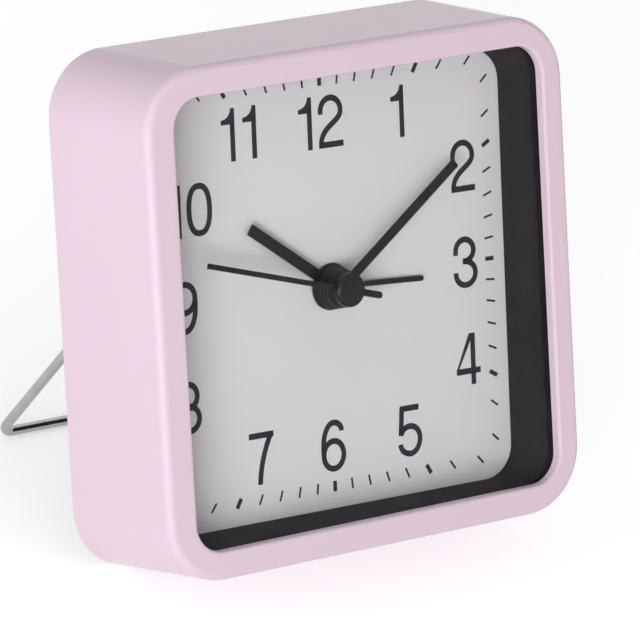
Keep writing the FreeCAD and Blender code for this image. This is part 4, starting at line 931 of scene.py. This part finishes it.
# Middle of each digit other than 1, right and up from the print's middle, in millimetres
NUMERALS = (
    ("2", (1.85, 25.1)),
    ("2", (26.9, 15.2)),
    ("3", (26.8, 0.0)),
    ("4", (26.7, -15.35)),
    ("5", (14.8, -25.0)),
    ("6", (0.0, -25.2)),
    ("7", (-13.6, -25.2)),
    ("8", (-26.8, -15.5)),
    ("9", (-26.7, -0.2)),
    ("0", (-23.3, 14.5)),
)
# Right edge and middle height of each 1, in millimetres
ONES = ((-1.7, 25.1), (-12.15, 25.1), (-16.15, 25.1), (15.9, 25.1), (-26.7, 14.5))


def one_outline(sizes, right):
    """Outline of a 1 whose upright ends at the given right edge, its flag a quarter of an ellipse."""
    height, stem = sizes.digit_height, sizes.stem * 0.97
    left, flag = right - stem, 1.65 * MM
    top = arc((left - flag, height), (flag + 0.18 * stem, 0.21 * height), 0, -90, 12)
    corners = [(left, 0), (right, 0), (right, height)]
    return run(corners, top, [(left - flag, 0.70 * height), (left, 0.70 * height)])


def four_outlines(sizes):
    """Outlines of a 4: its upright, its level bar and its slanted stroke."""
    width, height, half = sizes.digit_width, sizes.digit_height, sizes.stem / 2
    upright, level = 0.70 * width, 0.27 * height
    low, high = level - sizes.bar / 2, level + sizes.bar / 2
    foot, head = 0.30 * height, 0.55 * width
    slant_width = 0.9 * sizes.stem / math.sin(math.atan2(height - foot, head))
    return [
        box_outline(upright - half, upright + half, 0, height),
        box_outline(0, width, low, high),
        np.array([(0, low), (head + slant_width, height), (head, height), (0, foot)]),
    ]


def digit_parts(digit, centre, sizes, front, back):
    """Closed bands and slabs of one digit with its middle at the centre."""
    width, height = sizes.digit_width, sizes.digit_height
    corner = np.array(centre) * MM - (width / 2, height / 2)
    if digit == "4":
        return [slab(outline + corner, front, back) for outline in four_outlines(sizes)]
    box = np.array((width - sizes.stem, height - sizes.bar))
    start = corner + (sizes.stem / 2, sizes.bar / 2)
    return [
        stroke(start + line * box, sizes.stem, sizes.bar, front, back, closed)
        for line, closed in DIGITS[digit]
    ]


def numeral_parts(sizes, front, back):
    """The numbers 1 to 12: bands along each digit's lines, and slabs for every 1."""
    parts = []
    for digit, centre in NUMERALS:
        parts += digit_parts(digit, centre, sizes, front, back)
    for right, middle in ONES:
        outline = one_outline(sizes, right * MM) + (0, middle * MM - sizes.digit_height / 2)
        parts.append(slab(outline, front, back))
    return parts


def mark_parts(sizes, front, back):
    """Sixty minute marks: mark n points at 6 n degrees and its middle lies on a square."""
    parts = []
    for number in range(60):
        turn = math.radians(6 * number)
        toward = np.array((math.sin(turn), math.cos(turn)))
        across = np.array((toward[1], -toward[0]))
        middle = toward * sizes.track / np.abs(toward).max()
        hour = number % 5 == 0
        reach = (sizes.hour_mark_length if hour else sizes.mark_length) / 2
        half = (sizes.hour_mark_width if hour else sizes.mark_width) / 2
        corners = box_outline(-half, half, -reach, reach)
        parts.append(slab(middle + corners @ (across, toward), front, back))
    return parts


class PENDULETTE_OT_dial(bpy.types.Operator):
    """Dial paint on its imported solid, with the hour numbers and the square minute track in ink"""

    bl_idname = "pendulette.dial"
    bl_label = "Dial and its print"

    def execute(self, context):
        sizes = settings().dial
        dress_node("dial_plate", "grey_dial")
        depths = DIAL_LOW[1] - sizes.print_height, DIAL_LOW[1] + sizes.print_height / 3
        shift = (sizes.shift_right, sizes.shift_up)
        for name, parts in (("hour_numbers", numeral_parts), ("minute_marks", mark_parts)):
            part = swung(together(parts(sizes, *depths)), sizes.print_turn, shift)
            add_piece(name, part, "case", "grey_dial", finish="dial_ink").data.shade_flat()
        return {"FINISHED"}


# Hands


def blade_outline(start, end, half, round_tip=False):
    """Outline of a straight blade along up, from start to end, with a square or a round tip."""
    tip = arc((0, end - half), (half, half), 0, 180, 14) if round_tip else [(half, end), (-half, end)]
    return run([(-half, start), (half, start)], tip)


def hub_part(radius, bore, front, back, step):
    """Ring-shaped hub with a stepped, rounded front edge."""
    shoulder = front + 0.45 * (back - front)
    corners = [
        (bore, front),
        (radius - step, front),
        (radius - step, shoulder),
        (radius, shoulder + 0.02 * MM),
        (radius, back),
        (bore, back),
    ]
    rounds = np.array((0.05, 0.2, 0.03, 0.2, 0.1, 0.05)) * MM
    return turned(soft_corners(corners, rounds, 4), (0, 0), 72)


def cap_part(radius, front, back):
    """Round cap over the hands' stack, chamfered and rounded at its front."""
    chamfer = 0.4 * MM
    corners = [(0, front), (radius - chamfer, front), (radius, front + chamfer), (radius, back), (0, back)]
    profile = soft_corners(corners, np.array((0.5, 0.3, 0.1)) * MM, 6, closed=False)
    return turned(profile, (0, 0), 72, closed=False)


# Angle in degrees, and in millimetres the blade's length and width and the hub's radius and bore
HANDS = {
    "alarm_hand": (94.0, 17.6, 0.85, 3.65, 2.3),
    "hour_hand": (306.0, 19.0, 1.8, 3.35, 1.6),
    "minute_hand": (54.5, 28.3, 1.5, 3.0, 1.0),
}


class PENDULETTE_OT_hands(bpy.types.Operator):
    """Four lacquered hands: flat blades with soft edges on stepped hubs, and the second hand's cap"""

    bl_idname = "pendulette.hands"
    bl_label = "Hands"

    def execute(self, context):
        sizes = settings().hands
        for node, (degrees, *measures) in HANDS.items():
            end, width, radius, bore = np.array(measures) * MM
            front, back = np.array(span(node))[:, 1]
            outline = blade_outline(0.6 * radius, end, width / 2, node == "alarm_hand")
            hub = hub_part(radius, bore, front, back, sizes.collar)
            self.add(node, [self.blade(outline, back), hub], math.radians(degrees))
        front, back = np.array(span("second_hand"))[:, 1]
        arm = blade_outline(0.5 * MM, sizes.second_arm, sizes.second_width / 2)
        tail = blade_outline(0.5 * MM, sizes.second_tail, sizes.tail_width / 2, True)
        parts = [
            cap_part(sizes.cap, front, back),
            self.blade(arm, back),
            swung(self.blade(tail, back), math.pi, (0, 0)),
        ]
        self.add("second_hand", parts, sizes.second_turn)
        return {"FINISHED"}

    def blade(self, outline, back):
        sizes = settings().hands
        return slab(outline, back - sizes.blade, back, sizes.edge)

    def add(self, node, parts, turn):
        """Places a hand's parts on the hands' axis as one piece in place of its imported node."""
        part = swung(together(parts), turn, HAND_AXIS)
        even_normals(add_piece(node + "_dressed", part, node, "black_hands", [node]))


# Stand, back and movement


class PENDULETTE_OT_wire_stand(bpy.types.Operator):
    """Bent steel wire: two ends in the lugs, two legs that spread and a straight foot bar"""

    bl_idname = "pendulette.wire_stand"
    bl_label = "Wire stand"

    def execute(self, context):
        sizes = settings().stand
        pivot = in_clock(joint_named("stand_hinge")["pos_m"])[1:]
        along = np.array((math.sin(sizes.open_angle), -math.cos(sizes.open_angle)))
        left = [
            (sizes.inset - sizes.pivot_half, *pivot),
            (-sizes.pivot_half, *pivot),
            (-sizes.foot_half, *(pivot + sizes.leg * along)),
        ]
        corners = left + [(-x, y, z) for x, y, z in left[::-1]]
        path = soft_corners(corners, sizes.bend, 12, closed=False)
        across = np.cross(RIGHT, (0.0, *along))
        part = tube(path, sizes.wire, across, 28)
        add_piece("stand_wire", part, "wire_stand", "stand_chrome", ["wire_stand"])
        return {"FINISHED"}


class PENDULETTE_OT_back(bpy.types.Operator):
    """Back cover, battery door and alarm switch with softened edges on merged copies"""

    bl_idname = "pendulette.back"
    bl_label = "Back cover, door and switch"

    def execute(self, context):
        add_softened("back_cover", "rear_cover", "case", "black_cover", 0.15 * MM)
        add_softened("battery_door", "cell_door", "battery_door", "black_cover", 0.12 * MM)
        add_softened("alarm_switch", "switch_slider", "alarm_switch", "switch_white", 0.15 * MM)
        return {"FINISHED"}


class PENDULETTE_OT_knobs(bpy.types.Operator):
    """Two ridged setting knobs with rounded edges and a dished face"""

    bl_idname = "pendulette.knobs"
    bl_label = "Setting knobs"

    def execute(self, context):
        for knob in ("time", "alarm"):
            node, name = knob + "_setting_knob", knob + "_knob_grip"
            piece = add_piece(name, self.knob_part(node), knob + "_knob", "black_cover", [node])
            piece.data.set_sharp_from_angle(angle=math.radians(50))
        return {"FINISHED"}

    def knob_part(self, node):
        """A turned knob whose side has grooves.

        A groove's share of its depth is a raised cosine round the axis to the power 0.8, times a
        share that grows from 0 at 0.8 of the radius to 1 at 0.95 of it.
        """
        sizes = settings().knobs
        low, high = span(node)
        radius, base, top = (high[0] - low[0]) / 2, low[1], high[1]
        dish_top, dish_foot, dish_depth = 0.62 * radius, 0.5 * radius, top - sizes.dish
        corners = [(0, base), (radius, base), (radius, top), (dish_top, top)]
        corners += [(dish_foot, dish_depth), (0, dish_depth)]
        rounds = np.array((0.5, 1.2, 0.8, 1.0)) * sizes.edge
        profile = soft_corners(corners, rounds, 6, closed=False)
        steps = sizes.ridges * 10
        groove = (0.5 - 0.5 * np.cos(sizes.ridges * full_turn(steps))) ** 0.8
        grip = np.clip((profile[1:-1, 0] / radius - 0.8) / 0.15, 0, 1)[:, None]
        swell = 1 - grip * groove * sizes.ridge_depth / radius
        return turned(profile, (low + high)[[0, 2]] / 2, steps, swell, closed=False)


class PENDULETTE_OT_movement(bpy.types.Operator):
    """Finishes of the wheels, motor, board, cell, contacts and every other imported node"""

    bl_idname = "pendulette.movement"
    bl_label = "Movement and cell"

    def execute(self, context):
        for subpart in frame["record"]["subparts"]:
            dress_node(subpart["node"], subpart["material_slot"])
        return {"FINISHED"}


# Stage


def seen_directly(tree):
    """1 for camera, mirror and glass rays that have met no matt surface, and 0 for all others."""

    def maths(operation, first, second):
        made = tree.nodes.new("ShaderNodeMath")
        made.operation = operation
        tree.links.new(first, made.inputs[0])
        if isinstance(second, float):
            made.inputs[1].default_value = second
        else:
            tree.links.new(second, made.inputs[1])
        return made.outputs[0]

    path = tree.nodes.new("ShaderNodeLightPath").outputs
    clear = maths("MAXIMUM", path["Is Camera Ray"], path["Is Glossy Ray"])
    clear = maths("MAXIMUM", clear, path["Is Transmission Ray"])
    return maths("MULTIPLY", clear, maths("LESS_THAN", path["Diffuse Depth"], 0.5))


def floor_white(base):
    """Table top: a near-white lacquer that the camera sees a little lighter, shadows kept."""
    recipe = Recipe("table top")
    tone = recipe.ramp(recipe.clouds(400, 2), (0.3, shade(base, 0.99)), (0.7, shade(base, 1.0)))
    glow = recipe.between(seen_directly(recipe.tree), 0.0, 0.5, 0.0, 1.0)
    recipe.link(glow, recipe.shader.inputs["Emission Strength"])
    white = (1, 1, 1, 1)
    return recipe.finish(tone, Emission_Color=white, Roughness=0.75, Specular_IOR_Level=0.2)


def put_up(name, data, place, right, up, back):
    """A lamp or camera at a place, with its own axes pointing right, up and back."""
    thing = bpy.data.objects.new(name, data)
    bpy.context.scene.collection.objects.link(thing)
    matrix = np.eye(4)
    matrix[:3] = np.stack((right, up, back, place), -1)
    thing.matrix_world = Matrix(matrix.tolist())
    return thing


def soft_lamp(name, offset, size, power):
    """A square softbox that looks at the clock from an offset."""
    lamp = bpy.data.lights.new(name, "AREA")
    lamp.shape = "SQUARE"
    lamp.size = size
    lamp.energy = power
    back = unit(np.array(offset))
    side = unit(np.cross((0, 0, 1), back))
    put_up(name, lamp, in_row((0, 10 * MM, 0)) + offset, side, np.cross(back, side), back)


# The camera's azimuth, pitch and roll in degrees, its place from the clock in millimetres before it
# is turned, and its focal length on a sensor 36 mm wide
CAMERA_TURNS = (35.9, 10.4, 3.11)
CAMERA_PLACE = (-7.571684, -954.832536, -3.607012)
CAMERA_LENS = 353.1375
# Name, place from the clock in metres, width in metres and power in watts
SOFTBOXES = (
    ("side_softbox", (-0.85, 0.12, 0.12), 0.5, 1.6),
    ("left_softbox", (-0.62, -0.58, 0.12), 0.4, 3.3),
    ("front_softbox", (-0.12, -0.83, 0.2), 0.6, 0.9),
)


class PENDULETTE_OT_stage(bpy.types.Operator):
    """Pale floor, white surroundings, three softboxes and the camera"""

    bl_idname = "pendulette.stage"
    bl_label = "Stage"

    def execute(self, context):
        self.floor(context.scene)
        self.surroundings(context.scene)
        for lamp in SOFTBOXES:
            soft_lamp(*lamp)
        self.camera(context.scene)
        context.scene.view_settings.view_transform = "Standard"
        return {"FINISHED"}

    def floor(self, scene):
        reach = 3.0
        corners = np.insert(box_outline(-reach, reach, -reach, reach), 2, 0, axis=1)
        mesh = bpy.data.meshes.new("table_top")
        mesh.from_pydata(corners.tolist(), [], [(0, 1, 2, 3)])
        mesh.materials.append(floor_white(settings().colours.floor))
        floor = bpy.data.objects.new("table_top", mesh)
        scene.collection.objects.link(floor)

    def surroundings(self, scene):
        """White all round: full where the camera sees it, and dimmer as a light."""
        world = bpy.data.worlds.new("surroundings")
        scene.world = world
        world.use_nodes = True
        tree = world.node_tree
        tree.nodes.clear()
        output = tree.nodes.new("ShaderNodeOutputWorld")
        background = tree.nodes.new("ShaderNodeBackground")
        strength = tree.nodes.new("ShaderNodeMapRange")
        as_light, as_seen = 0.45, 1.0
        strength.inputs["To Min"].default_value = as_light
        strength.inputs["To Max"].default_value = as_seen
        background.inputs["Color"].default_value = (1, 1, 1, 1)
        tree.links.new(seen_directly(tree), strength.inputs[0])
        tree.links.new(strength.outputs[0], background.inputs["Strength"])
        tree.links.new(background.outputs[0], output.inputs["Surface"])

    def camera(self, scene):
        """Looks at the clock from its left and above: the three turns act on its axes in order."""
        azimuth, pitch, roll = np.radians(CAMERA_TURNS)
        turns = [Matrix.Rotation(*turn) for turn in ((-roll, 3, "Y"), (pitch, 3, "X"), (azimuth, 3, "Z"))]
        turn = np.linalg.multi_dot(turns)
        right, ahead, up = turn @ AXES
        place = in_row(turn.T @ CAMERA_PLACE * MM)
        camera = bpy.data.cameras.new("camera")
        camera.sensor_width = 36
        camera.lens = CAMERA_LENS
        camera.clip_start, camera.clip_end = 0.05, 20
        scene.camera = put_up("camera", camera, place, right, up, -ahead)


class PENDULETTE_PT_panel(bpy.types.Panel):
    """Lists the clock's pieces and settings"""

    bl_idname = "PENDULETTE_PT_panel"
    bl_label = "Pendulette clock"
    bl_space_type = "VIEW_3D"
    bl_region_type = "UI"
    bl_category = "Clock"

    def draw(self, context):
        layout = self.layout
        for operator in OPERATORS:
            layout.operator(operator.bl_idname)
        for group in ("case", "dial", "hands", "stand", "knobs", "colours"):
            box = layout.box()
            box.label(text=group.capitalize())
            holder = getattr(context.scene.pendulette, group)
            for name in holder.__annotations__:
                box.prop(holder, name)


GROUPS = (CaseSizes, DialSizes, HandSizes, StandSizes, KnobSizes, FinishColours, ClockSettings)
OPERATORS = (
    PENDULETTE_OT_stage,
    PENDULETTE_OT_movement,
    PENDULETTE_OT_case_shell,
    PENDULETTE_OT_window,
    PENDULETTE_OT_dial,
    PENDULETTE_OT_hands,
    PENDULETTE_OT_wire_stand,
    PENDULETTE_OT_back,
    PENDULETTE_OT_knobs,
)


def register():
    for made in (*GROUPS, *OPERATORS, PENDULETTE_PT_panel):
        bpy.utils.register_class(made)
    bpy.types.Scene.pendulette = PointerProperty(type=ClockSettings)


def unregister():
    del bpy.types.Scene.pendulette
    for made in reversed((*GROUPS, *OPERATORS, PENDULETTE_PT_panel)):
        bpy.utils.unregister_class(made)


def main():
    """Builds the clock and its stage."""
    register()
    for operator in OPERATORS:
        group, name = operator.bl_idname.split(".")
        getattr(getattr(bpy.ops, group), name)()


if __name__ == "__main__":
    main()
